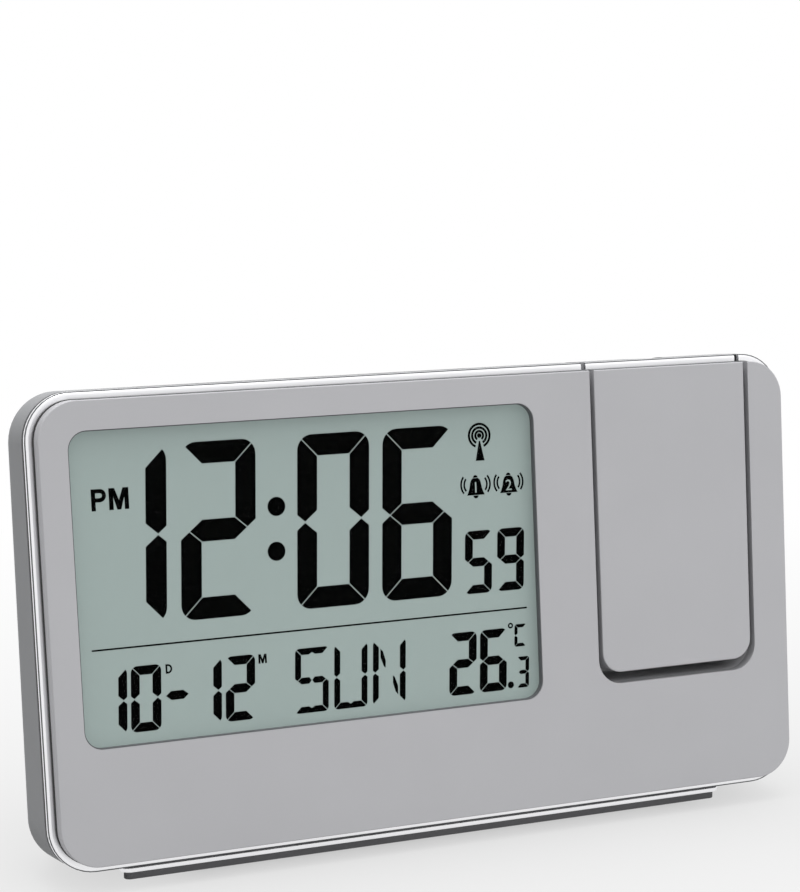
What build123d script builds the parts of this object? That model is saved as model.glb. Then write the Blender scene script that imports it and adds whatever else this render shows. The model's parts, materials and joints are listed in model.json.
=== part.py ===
"""Projection alarm clock: a leaning display with a projector arm folded into its front.

World frame: +X to the right seen from the front, +Y to the back, +Z up, millimetres.
The case leans back. Its own coordinates are x, v (up along the face) and d (depth behind the face),
and every piece of the case and of the arm is drawn in them.
"""
from math import cos, radians, sin
import os

from build123d import *

os.makedirs("parts", exist_ok=True)

# ---------------------------------------------------------------- driving dimensions

lean = 5.8                    # the case leans back by this many degrees

face_width = 140.4            # front panel
face_height = 76.3
face_corner = 6.6
face_edge = 0.2               # small round along the panel's front edge
panel_wall = 2.2
rim_wall = 1.6                # the panel's rim, inside the frame ring
rim_depth = 7.6
rod_seat_thickness = 1.5      # ribs that hold the receiver's ferrite rod

frame_face = 2.9              # how far the frame ring lies behind the face
frame_width = 1.35            # seen from the front
frame_thickness = 0.75
frame_round = 0.65            # outer front edge
ring_fit = 0.1                # between the panel's rim and what surrounds it
seam_width = 1.0              # dark gasket between frame ring and rear shell
seam_inset = 0.15

shell_wall = 2.0
shoulder_top = 12.3           # depth where the straight side walls end, at the top and at the bottom
shoulder_bottom = 15.0
shoulder_round = 5.0
back_side_inset = 7.0         # how much the back face is smaller than the outline
back_top_inset = 8.0
back_bottom_inset = 1.6
back_corner = 8.0
back_edge = 1.6

pad_height = 1.35             # rubber pad
pedestal_height = 1.05        # polished layer above it
foot_inset = 11.75            # from the outline, at each end
foot_front = 5.2              # behind the lower edge of the face
foot_depth = 21.6
foot_corner = 1.8
foot_taper = 58               # angle between its front edge and its ends, which run inwards to the back
foot_edge = 0.4
pad_inset = 0.8
face_lift = 4.8               # height of the panel's lower edge above the table

window_left = 4.86            # from the panel's left edge
window_low = 19.39            # from the panel's lower edge
window_drop = 4.93            # from the panel's upper edge
window_to_pocket = 11.355     # panel between the window and the arm's pocket
window_corner = 3.2
window_recess = 1.2
window_rim = 2.0              # the clear window reaches this far behind the panel
lens_sheet = 1.0

arm_width = 30.85
arm_low = 22.45               # lower end of the arm
arm_corner = 3.7
arm_depth = 14.6
arm_split = 4.65              # joint between the arm's cover and back
arm_wall = 1.6
arm_gap = 0.91                # slit on each side of the arm
pocket_margin = 7.075         # panel between the pocket and the panel's right edge
finger_gap = 2.05             # below the arm
arm_back_round = 5.0
pocket_corner = 4.6
cradle_wall = 1.5
pocket_room = 0.8             # behind the arm
notch_drop = 9.4              # the back is open from this far below the hinge, for the tilted beam

hinge_drop = 7.2              # below the panel's upper edge
hinge_depth = 8.4
pin_radius = 1.5
pin_reach = 3.2               # into the arm
pin_head = 2.3
pin_head_height = 0.8
washer_radius = 3.0
hinge_boss = 2.9
running_fit = 0.05

tube_radius = 3.95
tube_wall = 0.6
tube_drop = 13.4              # lower end of the tube, below the hinge
beam_hole = 3.4
focus_front_gap = 0.8         # between the arm's cover and the ring
focus_proud = 0.8             # beyond the back of the arm
focus_width = 3.4
focus_drop = 8.0
focus_ridges = 28
focus_groove = 0.3
carrier_length = 6.0
carrier_drop = 1.4
carrier_wall = 0.5
lens_height = 2.4
lens_crown = 1.1
housing_rise = 7.55           # above the lower end of the arm
housing_width = 12.0
housing_wall = 0.8
lamp_radius = 2.4
lamp_height = 4.0
cell_plate_drop = 5.85        # below the housing's upper end
condenser_drop = 8.0          # below the plate
cell_plate_thickness = 1.1
arm_screw_spread = 20.0
arm_screw_rise = 5.55         # above the lower end of the arm
arm_screw_radius = 0.9
arm_screw_head = 1.8
arm_boss = 2.3
arm_screw_recess = 4.0        # of the screws' heads in the arm's back

clearance = 0.15              # between pieces that are fitted together
slide_gap = 0.3               # around moving keys and doors

lcd_thickness = 2.0
lcd_rim = 1.4                 # the glass reaches this far beyond the opening
lcd_ledge = 2.6               # and further below it, for its contacts
guide_thickness = 2.8
lcd_frame_wall = 0.9
lcd_frame_corner = 3.0
contact_strip_width = 2.2
contact_strip_inset = 6.0
board_thickness = 1.6
ear_width = 7.0               # ears that carry the LCD frame and the main board
ear_height = 6.0
ear_inset = 14.0
chip_size = 12.0
chip_height = 1.4
chip_shift, chip_rise = -6.9, 2.6           # from the middle of the display
crystal_radius = 1.1
crystal_length = 6.0
crystal_shift, crystal_rise = 11.1, 0.6
buzzer_radius = 6.0
buzzer_height = 4.0
buzzer_inset, buzzer_drop = 14.74, 12.77    # from the display's upper left corner
sensor_radius = 1.3
sensor_height = 2.5
sensor_inset, sensor_drop = 4.74, 12.77

rod_end_room = 4.1            # beside the ferrite rod of the time-signal receiver
rod_radius = 3.0
rod_v, rod_depth = 7.0, 8.3
coil_radius = 4.0
coil_length = 20.0

cell_radius = 5.25
cell_length = 44.5
cell_nub = 1.9                # radius of the raised contact
cell_nub_height = 0.9
contact_plate = 0.4
contact_size = 7.0
spring_length = 4.2
spring_wire = 0.3
spring_radius = 2.6
spring_turns = 4
tray_wall = 1.2
tray_inset = 17.2             # from the panel's left edge
tray_low = 4.8
tray_gap = 0.9                # behind the receiver's coil
cell_back_room = 0.75         # between the cells and the door
door_thickness = 1.2
door_overlap = 1.0
door_corner = 2.0
door_rest_gap = 0.1           # under the closed door
door_pivot = 0.42             # radius of the stub pins at the ends of its lower edge
door_pivot_length = 1.0
thumb_width = 12.0            # hollow in the door's upper edge
thumb_depth = 0.6
thumb_height = 4.0

key_width = 8.0
key_height = 4.6
key_pitch = 12.0
key_row_rise = 15.2           # from the battery tray up to the row of keys
key_inset = 18.2              # first key, from the panel's left edge
key_proud = 1.0
key_travel = 0.5
key_flange = 0.8
key_flange_height = 0.9
key_corner = 1.2
key_edge = 0.4
key_names = ["set_key", "plus_key", "minus_key", "alarm_key", "signal_key", "flip_key"]

reset_pitch = 14.0            # from the last key
reset_radius = 1.1
reset_sunk = 0.3              # its end stays below the shell's surface

slider_pitch = 14.0           # from the reset pin
slider_width = 3.6
slider_height = 3.0
slider_travel = 4.0
slider_proud = 0.8
slider_flange = 2.2

key_board_end = 4.0           # beyond its outer posts
key_board_height = 11.0
key_board_gap = 0.4           # between the arm's cradle and the board's screws
key_post_radius = 2.3
key_post_left_gap = 8.0       # from the first key
key_post_middle_gap = 7.4     # from the last key
key_post_right_gap = 7.6      # from the end of the slider's travel
switch_size = 6.0
switch_height = 2.6
switch_button = 1.6
switch_plunger = 0.7

snooze_inset = 20.2           # from the panel's left edge
snooze_width = 60.0
snooze_depth = 6.4
snooze_travel = 0.6
snooze_tab = 1.0
snooze_stem_width = 4.0
snooze_stem_depth = 2.0
snooze_switch_drop = 6.27     # below the main board's upper edge
snooze_switch_height = 5.0

jack_inset, jack_v = 24.2, 11.0             # from the panel's right edge
jack_width = 9.0
jack_height = 10.0
jack_length = 11.0
jack_barrel = 3.6
jack_bore = 2.8
jack_bore_depth = 10.0
jack_pin = 0.65

vent_count = 5
vent_width = 1.3
vent_height = 9.0
vent_pitch = 3.2
vent_inset, vent_drop = 18.2, 16.6          # from the panel's upper left corner

screw_radius = 1.1
screw_fit = 0.03
screw_head = 2.3
screw_head_height = 1.6
screw_reach = 5.0             # of the thread into the panel's boss
boss_radius = 3.2
boss_wall = 2.4               # radius of the panel's bosses
boss_meet = 9.0               # depth where panel bosses and shell bosses meet
screw_seat = 12.0
corner_screw_inset, corner_screw_v = 10.2, 8.0
inner_screw_gap = 5.655       # from the pocket
inner_screw_v, inner_screw_drop = 10.0, 12.6

board_screw_radius = 0.9
board_screw_head = 1.8
board_screw_head_height = 1.1
board_screw_length = 5.0

# ---------------------------------------------------------------- worked out from them

pocket_back = arm_depth + pocket_room
cradle_back = pocket_back + cradle_wall
notch_front = cradle_back + cradle_wall      # the shell ends here beside the beam's way out

# the case is as deep as the cells or the keys behind the arm's pocket need
cell_stack = rod_depth + coil_radius + tray_gap + tray_wall + clearance + 2 * cell_radius
cell_stack += cell_back_room + door_thickness
key_stack = cradle_back + key_board_gap + board_screw_head_height + board_thickness + switch_height
key_stack += switch_plunger + key_travel + key_flange_height + 2 * clearance + shell_wall
body_depth = max(cell_stack, key_stack)

lean_angle = radians(lean)
overall_depth = body_depth * cos(lean_angle) + (face_height + frame_width - back_top_inset) * sin(lean_angle)
up = Vector(0, sin(lean_angle), cos(lean_angle))
back = Vector(0, cos(lean_angle), -sin(lean_angle))
face_origin = Vector(0, -overall_depth / 2, face_lift)

frame_back = frame_face + frame_thickness
shell_front = frame_back + seam_width
outline_width = face_width + 2 * frame_width
outline_height = face_height + 2 * frame_width
outline_corner = face_corner + frame_width
top = face_height + frame_width
half_outline = outline_width / 2
back_wall = body_depth - shell_wall          # inner face of the back wall
foot_top = pad_height + pedestal_height

panel_left, panel_right = -face_width / 2, face_width / 2

pocket_right = panel_right - pocket_margin
arm_right = pocket_right - arm_gap
arm_left = arm_right - arm_width
arm_centre = (arm_left + arm_right) / 2
pocket_left = arm_left - arm_gap
pocket_low = arm_low - finger_gap
hinge_height = face_height - hinge_drop
notch_low = hinge_height - notch_drop

window_x0, window_x1 = panel_left + window_left, pocket_left - window_to_pocket
window_v1 = face_height - window_drop

lcd_front = panel_wall + clearance
lcd_back = lcd_front + lcd_thickness
guide_back = lcd_back + guide_thickness + clearance
plate_front = guide_back + clearance
lcd_frame_back = plate_front + lcd_frame_wall
board_front = lcd_frame_back + clearance
board_back = board_front + board_thickness
lcd_x0, lcd_x1 = window_x0 - lcd_rim, window_x1 + lcd_rim
lcd_v0, lcd_v1 = window_low - lcd_rim - lcd_ledge, window_v1 + lcd_rim
lcd_x, lcd_v = (lcd_x0 + lcd_x1) / 2, (lcd_v0 + lcd_v1) / 2
frame_margin = clearance + lcd_frame_wall
ear_left, ear_right = lcd_x0 + ear_inset, lcd_x1 - ear_inset
ear_v = lcd_v0 - frame_margin - ear_height / 2
ear_places = [(ear_left, ear_v), (ear_right, ear_v)]
rod_length = ear_right - ear_left - ear_width - 2 * rod_end_room

inner_screw_x = pocket_left - inner_screw_gap
screw_places = [
    (panel_left + corner_screw_inset, corner_screw_v),
    (panel_right - corner_screw_inset, corner_screw_v),
    (inner_screw_x, inner_screw_v),
    (inner_screw_x, face_height - inner_screw_drop),
]
snooze_left = panel_left + snooze_inset
snooze_right = snooze_left + snooze_width
snooze_x = (snooze_left + snooze_right) / 2    # where its stem presses the switch
snooze_switch_low = lcd_v1 - snooze_switch_drop


# ---------------------------------------------------------------- planes and shapes of the leaning case

def at_depth(depth):
    """Plane behind the face, seen from the front: sketch x is x, sketch y is v."""
    return Plane(origin=face_origin + back * depth, x_dir=(1, 0, 0), z_dir=-back)


def at_height(height):
    """Plane across the case at a height along the face: sketch x is x, sketch y is depth."""
    return Plane(origin=face_origin + up * height, x_dir=(1, 0, 0), z_dir=up)


def at_side(x):
    """Upright plane across x: sketch x is depth, sketch y is v."""
    return Plane(origin=face_origin + Vector(x, 0, 0), x_dir=back, z_dir=(1, 0, 0))


def slab(x0, x1, v0, v1, d0, d1, corner=0, mode=Mode.ADD):
    """A block of the leaning case, with its upright-to-the-face edges rounded by corner."""
    with BuildSketch(at_depth(d0)) as profile:
        with Locations(((x0 + x1) / 2, (v0 + v1) / 2)):
            if corner:
                RectangleRounded(x1 - x0, v1 - v0, corner)
            else:
                Rectangle(x1 - x0, v1 - v0)
    return extrude(profile.sketch, amount=-(d1 - d0), mode=mode)


def rod_back(x, v, d0, d1, radius, mode=Mode.ADD):
    """A round bar that runs from front to back."""
    with BuildSketch(at_depth(d0)) as profile:
        with Locations((x, v)):
            Circle(radius)
    return extrude(profile.sketch, amount=-(d1 - d0), mode=mode)


def rod_up(x, d, v0, v1, radius, mode=Mode.ADD):
    """A round bar that runs up along the face."""
    with BuildSketch(at_height(v0)) as profile:
        with Locations((x, d)):
            Circle(radius)
    return extrude(profile.sketch, amount=v1 - v0, mode=mode)


def rod_across(x0, x1, v, d, radius, mode=Mode.ADD):
    """A round bar that runs from left to right."""
    with BuildSketch(at_side(x0)) as profile:
        with Locations((d, v)):
            Circle(radius)
    return extrude(profile.sketch, amount=x1 - x0, mode=mode)


def outline(width, height, corner, depth_plane, rise=0.0):
    """A rounded outline of the case, centred on the face, on a plane."""
    with BuildSketch(depth_plane) as profile:
        with Locations((0, face_height / 2 + rise)):
            RectangleRounded(width, height, corner)
    return profile.sketch


def below_table(height):
    """A big block that fills all that is lower than a height above the table."""
    with BuildSketch(Plane.XY.offset(height)) as profile:
        Rectangle(2 * outline_width, 6 * overall_depth)
    return extrude(profile.sketch, amount=-4 * face_lift, mode=Mode.PRIVATE)


def finish(builder, name):
    """Label a finished piece and write it."""
    builder.part.label = name
    export_step(builder.part, f"parts/{name}.step")


shoulder_tilt = (shoulder_bottom - shoulder_top) / face_height
shoulder_plane = Plane(
    origin=face_origin + back * shoulder_bottom,
    x_dir=(1, 0, 0),
    z_dir=-(back + up * shoulder_tilt).normalized(),
)


def lies_on_shoulder(edge):
    """True for the edges where the straight walls meet the tapered back."""
    return abs((edge.center() - shoulder_plane.origin).dot(shoulder_plane.z_dir)) < 0.01


def casing(inset):
    """The closed form of the rear shell, with every outer surface moved in by inset."""
    back_width = outline_width - 2 * back_side_inset - 2 * inset
    back_height = outline_height - back_top_inset - back_bottom_inset - 2 * inset
    back_rise = (back_bottom_inset - back_top_inset) / 2
    width, height = outline_width - 2 * inset, outline_height - 2 * inset
    corner = outline_corner - inset
    with BuildPart() as form:
        loft([outline(width, height, corner, at_depth(shell_front)),
              outline(width, height, corner, shoulder_plane)], ruled=True)
        loft([outline(width, height, corner, shoulder_plane),
              outline(back_width, back_height, back_corner - inset, at_depth(body_depth - inset), back_rise)],
             ruled=True)
        fillet(form.edges().filter_by(lies_on_shoulder), shoulder_round - inset)
        back_rim = form.faces().sort_by(Axis((0, 0, 0), tuple(back)))[-1].edges()
        fillet(back_rim, back_edge)
        add(below_table(foot_top + inset), mode=Mode.SUBTRACT)
    return form.part


# the closed forms that the shell and what stands in it are cut from
shell_form = casing(0)
hollow_form = casing(shell_wall)
inner_form = casing(shell_wall + clearance)
rear_axis = Axis((0, 0, 0), tuple(back))
up_axis = Axis((0, 0, 0), tuple(up))


def front_edges(builder):
    """Edges of the foremost face of a piece."""
    return builder.faces().sort_by(rear_axis)[0].edges()


def rear_edges(builder):
    """Edges of the rearmost face of a piece."""
    return builder.faces().sort_by(rear_axis)[-1].edges()


# ---------------------------------------------------------------- front of the case

with BuildPart() as front_panel:
    slab(-face_width / 2, face_width / 2, 0, face_height, 0, shell_front - clearance, face_corner)
    fillet(front_edges(front_panel), face_edge)
    tongue_inset = shell_wall + clearance - frame_width
    slab(-face_width / 2 + tongue_inset, face_width / 2 - tongue_inset, tongue_inset,
         face_height - tongue_inset, shell_front - clearance, rim_depth, face_corner - tongue_inset)
    slab(-face_width / 2 + rim_wall, face_width / 2 - rim_wall, rim_wall, face_height - rim_wall,
         panel_wall, rim_depth, face_corner - rim_wall, mode=Mode.SUBTRACT)
    for x, v in screw_places:
        rod_back(x, v, panel_wall, boss_meet, boss_wall)
        rod_back(x, v, screw_seat - screw_reach - screw_radius * 2, boss_meet, screw_radius + screw_fit,
                 mode=Mode.SUBTRACT)
    for side in (-1, 1):
        seat_x = lcd_x + side * (rod_length / 2 - 2 * rod_seat_thickness)
        slab(seat_x - rod_seat_thickness / 2, seat_x + rod_seat_thickness / 2, rim_wall / 2,
             rod_v + rod_radius, panel_wall, rod_depth)
    rod_across(lcd_x - rod_length, lcd_x + rod_length, rod_v, rod_depth, rod_radius + ring_fit,
               mode=Mode.SUBTRACT)
    # window, with a step behind it for the clear sheet
    slab(window_x0, window_x1, window_low, window_v1, 0, panel_wall, window_corner, mode=Mode.SUBTRACT)
    slab(window_x0 - window_rim - clearance, window_x1 + window_rim + clearance,
         window_low - window_rim - clearance, window_v1 + window_rim + clearance,
         window_recess, panel_wall, window_corner, mode=Mode.SUBTRACT)
    # pocket of the arm, open at the top
    slab(pocket_left, pocket_right, pocket_low, 2 * face_height, 0, rim_depth, pocket_corner,
         mode=Mode.SUBTRACT)
finish(front_panel, "front_panel")

with BuildPart() as frame_form:
    slab(-half_outline, half_outline, -frame_width, top, frame_face, frame_back, outline_corner)
    fillet(front_edges(frame_form), frame_round)
    slab(-face_width / 2 - ring_fit, face_width / 2 + ring_fit, -ring_fit, face_height + ring_fit,
         frame_face, frame_back, face_corner + ring_fit, mode=Mode.SUBTRACT)

with BuildPart() as frame_ring:
    add(frame_form.part)
    slab(pocket_left, pocket_right, face_height / 2, 2 * face_height, frame_face, frame_back,
         mode=Mode.SUBTRACT)
finish(frame_ring, "frame_ring")

with BuildPart() as seam_gasket:
    slab(-half_outline + seam_inset, half_outline - seam_inset, seam_inset - frame_width, top - seam_inset,
         frame_back, shell_front, outline_corner - seam_inset)
    slab(-face_width / 2 - ring_fit, face_width / 2 + ring_fit, -ring_fit, face_height + ring_fit,
         frame_back, shell_front, face_corner + ring_fit, mode=Mode.SUBTRACT)
    slab(pocket_left, pocket_right, face_height / 2, 2 * face_height, frame_back, shell_front,
         mode=Mode.SUBTRACT)
finish(seam_gasket, "seam_gasket")

with BuildPart() as window_sheet:
    slab(window_x0 - window_rim, window_x1 + window_rim, window_low - window_rim, window_v1 + window_rim,
         window_recess, window_recess + lens_sheet, window_corner)
finish(window_sheet, "window_sheet")

# ---------------------------------------------------------------- display and main board

strip_v0 = lcd_v0 + clearance
strip_v1 = strip_v0 + contact_strip_width
strip_x0, strip_x1 = lcd_x0 + contact_strip_inset, lcd_x1 - contact_strip_inset

with BuildPart() as lcd_glass:
    slab(lcd_x0, lcd_x1, lcd_v0, lcd_v1, lcd_front, lcd_back)
finish(lcd_glass, "lcd_glass")

with BuildPart() as light_guide:
    slab(lcd_x0, lcd_x1, strip_v1 + clearance, lcd_v1, lcd_back + clearance, guide_back)
    chamfer(rear_edges(light_guide), guide_thickness / 5)
finish(light_guide, "light_guide")

with BuildPart() as lcd_frame:
    slab(lcd_x0 - frame_margin, lcd_x1 + frame_margin, lcd_v0 - frame_margin, lcd_v1 + frame_margin,
         panel_wall, lcd_frame_back, lcd_frame_corner)
    slab(lcd_x0 - clearance, lcd_x1 + clearance, lcd_v0 - clearance, lcd_v1 + clearance,
         panel_wall, plate_front, mode=Mode.SUBTRACT)
    slab(strip_x0 - clearance, strip_x1 + clearance, strip_v0 - clearance, strip_v1 + clearance,
         plate_front, lcd_frame_back, mode=Mode.SUBTRACT)
    for x, v in ear_places:
        slab(x - ear_width / 2, x + ear_width / 2, v - ear_height / 2, v + ear_height / 2 + lcd_frame_wall,
             panel_wall, lcd_frame_back)
        rod_back(x, v, board_back - board_screw_length - clearance, lcd_frame_back,
                 board_screw_radius + screw_fit, mode=Mode.SUBTRACT)
finish(lcd_frame, "lcd_frame")

with BuildPart() as contact_strip:
    slab(strip_x0, strip_x1, strip_v0, strip_v1, lcd_back, board_front)
finish(contact_strip, "contact_strip")

with BuildPart() as main_board:
    slab(lcd_x0, lcd_x1, lcd_v0 - frame_margin, lcd_v1, board_front, board_back, clearance)
    for x, v in ear_places:
        slab(x - ear_width / 2, x + ear_width / 2, v - ear_height / 2, v + ear_height / 2 + lcd_frame_wall,
             board_front, board_back)
        rod_back(x, v, board_front, board_back, board_screw_radius + clearance, mode=Mode.SUBTRACT)
finish(main_board, "main_board")

chip_x, chip_v = lcd_x + chip_shift, lcd_v + chip_rise
crystal_x, crystal_v = lcd_x + crystal_shift, lcd_v + crystal_rise
buzzer_x, buzzer_v = lcd_x0 + buzzer_inset, lcd_v1 - buzzer_drop
sensor_x, sensor_v = lcd_x0 + sensor_inset, lcd_v1 - sensor_drop

with BuildPart() as control_chip:
    slab(chip_x - chip_size / 2, chip_x + chip_size / 2, chip_v - chip_size / 2, chip_v + chip_size / 2,
         board_back, board_back + chip_height)
    chamfer(rear_edges(control_chip), chip_height / 4)
finish(control_chip, "control_chip")

with BuildPart() as crystal:
    rod_up(crystal_x, board_back + crystal_radius, crystal_v, crystal_v + crystal_length, crystal_radius)
    fillet(crystal.faces().sort_by(up_axis)[-1].edges(), crystal_radius / 3)
finish(crystal, "crystal")

with BuildPart() as buzzer:
    rod_back(buzzer_x, buzzer_v, board_back, board_back + buzzer_height, buzzer_radius)
    fillet(rear_edges(buzzer), buzzer_height / 8)
    rod_back(buzzer_x, buzzer_v, board_back + buzzer_height / 2, board_back + buzzer_height,
             buzzer_radius / 4, mode=Mode.SUBTRACT)
finish(buzzer, "buzzer")

with BuildPart() as temperature_sensor:
    rod_back(sensor_x, sensor_v, board_back, board_back + sensor_height, sensor_radius)
    fillet(rear_edges(temperature_sensor), sensor_radius * 0.8)
finish(temperature_sensor, "temperature_sensor")

with BuildPart() as ferrite_rod:
    rod_across(lcd_x - rod_length / 2, lcd_x + rod_length / 2, rod_v, rod_depth, rod_radius)
finish(ferrite_rod, "ferrite_rod")

with BuildPart() as receiver_coil:
    rod_across(lcd_x - coil_length / 2, lcd_x + coil_length / 2, rod_v, rod_depth, coil_radius)
    rod_across(lcd_x - coil_length / 2, lcd_x + coil_length / 2, rod_v, rod_depth, rod_radius + screw_fit,
               mode=Mode.SUBTRACT)
finish(receiver_coil, "receiver_coil")

stem_middle = board_back + switch_size / 4
snooze_stem_low = snooze_switch_low + snooze_switch_height + switch_button + snooze_travel / 2

with BuildPart() as snooze_switch:
    slab(snooze_x - switch_size / 2, snooze_x + switch_size / 2, snooze_switch_low,
         snooze_switch_low + snooze_switch_height, board_back, board_back + switch_size / 2)
    rod_up(snooze_x, stem_middle, snooze_switch_low + snooze_switch_height,
           snooze_stem_low - snooze_travel - clearance, switch_button * 0.6)
finish(snooze_switch, "snooze_switch")

# ---------------------------------------------------------------- rear shell and what it carries

tray_left = panel_left + tray_inset
tray_right = tray_left + 2 * tray_wall + 2 * contact_plate + spring_length + cell_length + clearance
cell_low_v = tray_low + tray_wall + clearance + cell_radius
cell_high_v = cell_low_v + 2 * cell_radius + 2 * clearance
tray_top = cell_high_v + cell_radius + clearance + tray_wall
cell_depth = body_depth - door_thickness - cell_back_room - cell_radius
tray_front = cell_depth - cell_radius - clearance - tray_wall
door_left, door_right = tray_left - door_overlap, tray_right + door_overlap
door_low, door_top = tray_low - door_overlap, tray_top + door_overlap
door_front = body_depth - door_thickness
door_axis_v, door_axis_d = door_low + door_thickness / 2, body_depth - door_thickness / 2
key_row = tray_top + key_row_rise
key_first = panel_left + key_inset
key_places = [(key_first + key_pitch * number, key_row) for number in range(len(key_names))]
key_last = key_places[-1][0]
reset_x = key_last + reset_pitch
slider_x = reset_x + slider_pitch
key_inner = back_wall - clearance - key_flange_height
switch_front = key_inner - key_travel - clearance - switch_plunger - switch_height
key_board_front = switch_front - board_thickness
post_left = key_first - key_post_left_gap
post_right = slider_x + slider_travel + key_post_right_gap
post_places = [(post_left, key_row), (key_last + key_post_middle_gap, key_row), (post_right, key_row)]
snooze_front = rim_depth + slide_gap
jack_x = panel_right - jack_inset
jack_front = back_wall - jack_length
jack_bore_front = body_depth - jack_bore_depth
vent_x, vent_v = panel_left + vent_inset, face_height - vent_drop

with BuildPart() as rear_shell:
    add(shell_form)
    add(hollow_form, mode=Mode.SUBTRACT)
    for x, v in screw_places:
        rod_back(x, v, boss_meet + clearance, back_wall + shell_wall / 2, boss_radius)
    for x, v in post_places:
        rod_back(x, v, switch_front, back_wall + shell_wall / 2, key_post_radius)
        rod_back(x, v, switch_front, key_board_front + board_screw_length + clearance,
                 board_screw_radius + screw_fit, mode=Mode.SUBTRACT)
    for x, v in screw_places:
        rod_back(x, v, boss_meet, screw_seat, screw_radius + clearance, mode=Mode.SUBTRACT)
        rod_back(x, v, screw_seat, body_depth, screw_head + clearance, mode=Mode.SUBTRACT)
    # where the arm lies, and the beam's way out at the back
    slab(pocket_left, pocket_right, notch_low, 2 * face_height, 0, 2 * body_depth, mode=Mode.SUBTRACT)
    slab(pocket_left, outline_width, notch_low, 2 * face_height, notch_front, 2 * body_depth,
         mode=Mode.SUBTRACT)
    # battery bay and the seat of its door
    slab(tray_left + tray_wall, tray_right - tray_wall, tray_low + tray_wall, tray_top - tray_wall,
         back_wall, body_depth, mode=Mode.SUBTRACT)
    slab(door_left - slide_gap, door_right + slide_gap, door_low - slide_gap, door_top + slide_gap,
         door_front - door_rest_gap, body_depth, door_corner + slide_gap, mode=Mode.SUBTRACT)
    slab(door_left - slide_gap, door_right + slide_gap, door_low - slide_gap, door_low + door_corner,
         door_front - door_rest_gap, body_depth, mode=Mode.SUBTRACT)
    rod_across(door_left - door_pivot_length - clearance, door_right + door_pivot_length + clearance,
               door_axis_v, door_axis_d, door_pivot + running_fit, mode=Mode.SUBTRACT)
    for x, v in key_places:
        slab(x - key_width / 2 - slide_gap, x + key_width / 2 + slide_gap, v - key_height / 2 - slide_gap,
             v + key_height / 2 + slide_gap, back_wall, body_depth, key_corner + slide_gap,
             mode=Mode.SUBTRACT)
    rod_back(reset_x, key_row, back_wall, body_depth, reset_radius + slide_gap, mode=Mode.SUBTRACT)
    slab(slider_x - slider_width / 2 - slide_gap, slider_x + slider_width / 2 + slider_travel + slide_gap,
         key_row - slider_height / 2 - slide_gap, key_row + slider_height / 2 + slide_gap,
         back_wall, body_depth, mode=Mode.SUBTRACT)
    rod_back(jack_x, jack_v, back_wall, body_depth, jack_barrel + clearance, mode=Mode.SUBTRACT)
    for number in range(vent_count):
        x = vent_x + vent_pitch * (number - (vent_count - 1) / 2)
        slab(x - vent_width / 2, x + vent_width / 2, vent_v - vent_height / 2, vent_v + vent_height / 2,
             back_wall, body_depth, vent_width * 0.45, mode=Mode.SUBTRACT)
    slab(snooze_left - slide_gap, snooze_right + slide_gap, face_height / 2, 2 * face_height,
         snooze_front - slide_gap, snooze_front + snooze_depth + slide_gap, mode=Mode.SUBTRACT)
finish(rear_shell, "rear_shell")

with BuildPart() as snooze_bar:
    slab(snooze_left, snooze_right, face_height / 2, 2 * face_height, snooze_front,
         snooze_front + snooze_depth)
    add(shell_form, mode=Mode.INTERSECT)
    add(hollow_form, mode=Mode.SUBTRACT)
    slab(snooze_x - snooze_stem_width / 2, snooze_x + snooze_stem_width / 2, snooze_stem_low,
         top - shell_wall, stem_middle - snooze_stem_depth / 2, stem_middle + snooze_stem_depth / 2)
    for edge_x, side in ((snooze_left, -1), (snooze_right, 1)):
        low_x, high_x = sorted((edge_x + side * (snooze_tab + slide_gap), edge_x - side * snooze_tab))
        slab(low_x, high_x, top - shell_wall - clearance - key_flange_height, top - shell_wall - clearance,
             snooze_front, snooze_front + snooze_depth / 4)
        inner_x = sorted((edge_x, edge_x - side * snooze_tab))
        slab(inner_x[0], inner_x[1], top - shell_wall - clearance - key_flange_height, top - shell_wall / 2,
             snooze_front, snooze_front + snooze_depth / 4)
finish(snooze_bar, "snooze_bar")

with BuildPart() as battery_tray:
    slab(tray_left, tray_right, tray_low, tray_top, tray_front, back_wall)
    slab(tray_left + tray_wall, tray_right - tray_wall, tray_low + tray_wall, tray_top - tray_wall,
         tray_front + tray_wall, back_wall, mode=Mode.SUBTRACT)
finish(battery_tray, "battery_tray")

# the upper cell points left and the lower cell points right, with the springs at their flat ends
bay_left, bay_right = tray_left + tray_wall, tray_right - tray_wall


def cell(v, side):
    """A small round cell whose raised contact points to side."""
    plate_x = bay_right - contact_plate if side > 0 else bay_left + contact_plate
    shoulder_x = plate_x - side * cell_nub_height
    flat_x = plate_x - side * cell_length
    with BuildPart() as piece:
        rod_across(min(flat_x, shoulder_x), max(flat_x, shoulder_x), v, cell_depth, cell_radius)
        fillet(piece.edges().filter_by(GeomType.CIRCLE), cell_radius / 12)
        rod_across(min(shoulder_x, plate_x), max(shoulder_x, plate_x), v, cell_depth, cell_nub)
    return piece.part


for name, v, side in (("cell_upper", cell_high_v, -1), ("cell_lower", cell_low_v, 1)):
    with BuildPart() as cell_piece:
        add(cell(v, side))
    finish(cell_piece, name)

with BuildPart() as plate_contacts:
    for v, x in ((cell_high_v, bay_left), (cell_low_v, bay_right - contact_plate)):
        slab(x, x + contact_plate, v - contact_size / 2, v + contact_size / 2,
             cell_depth - contact_size / 2, cell_depth + contact_size / 2)
finish(plate_contacts, "plate_contacts")

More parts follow.
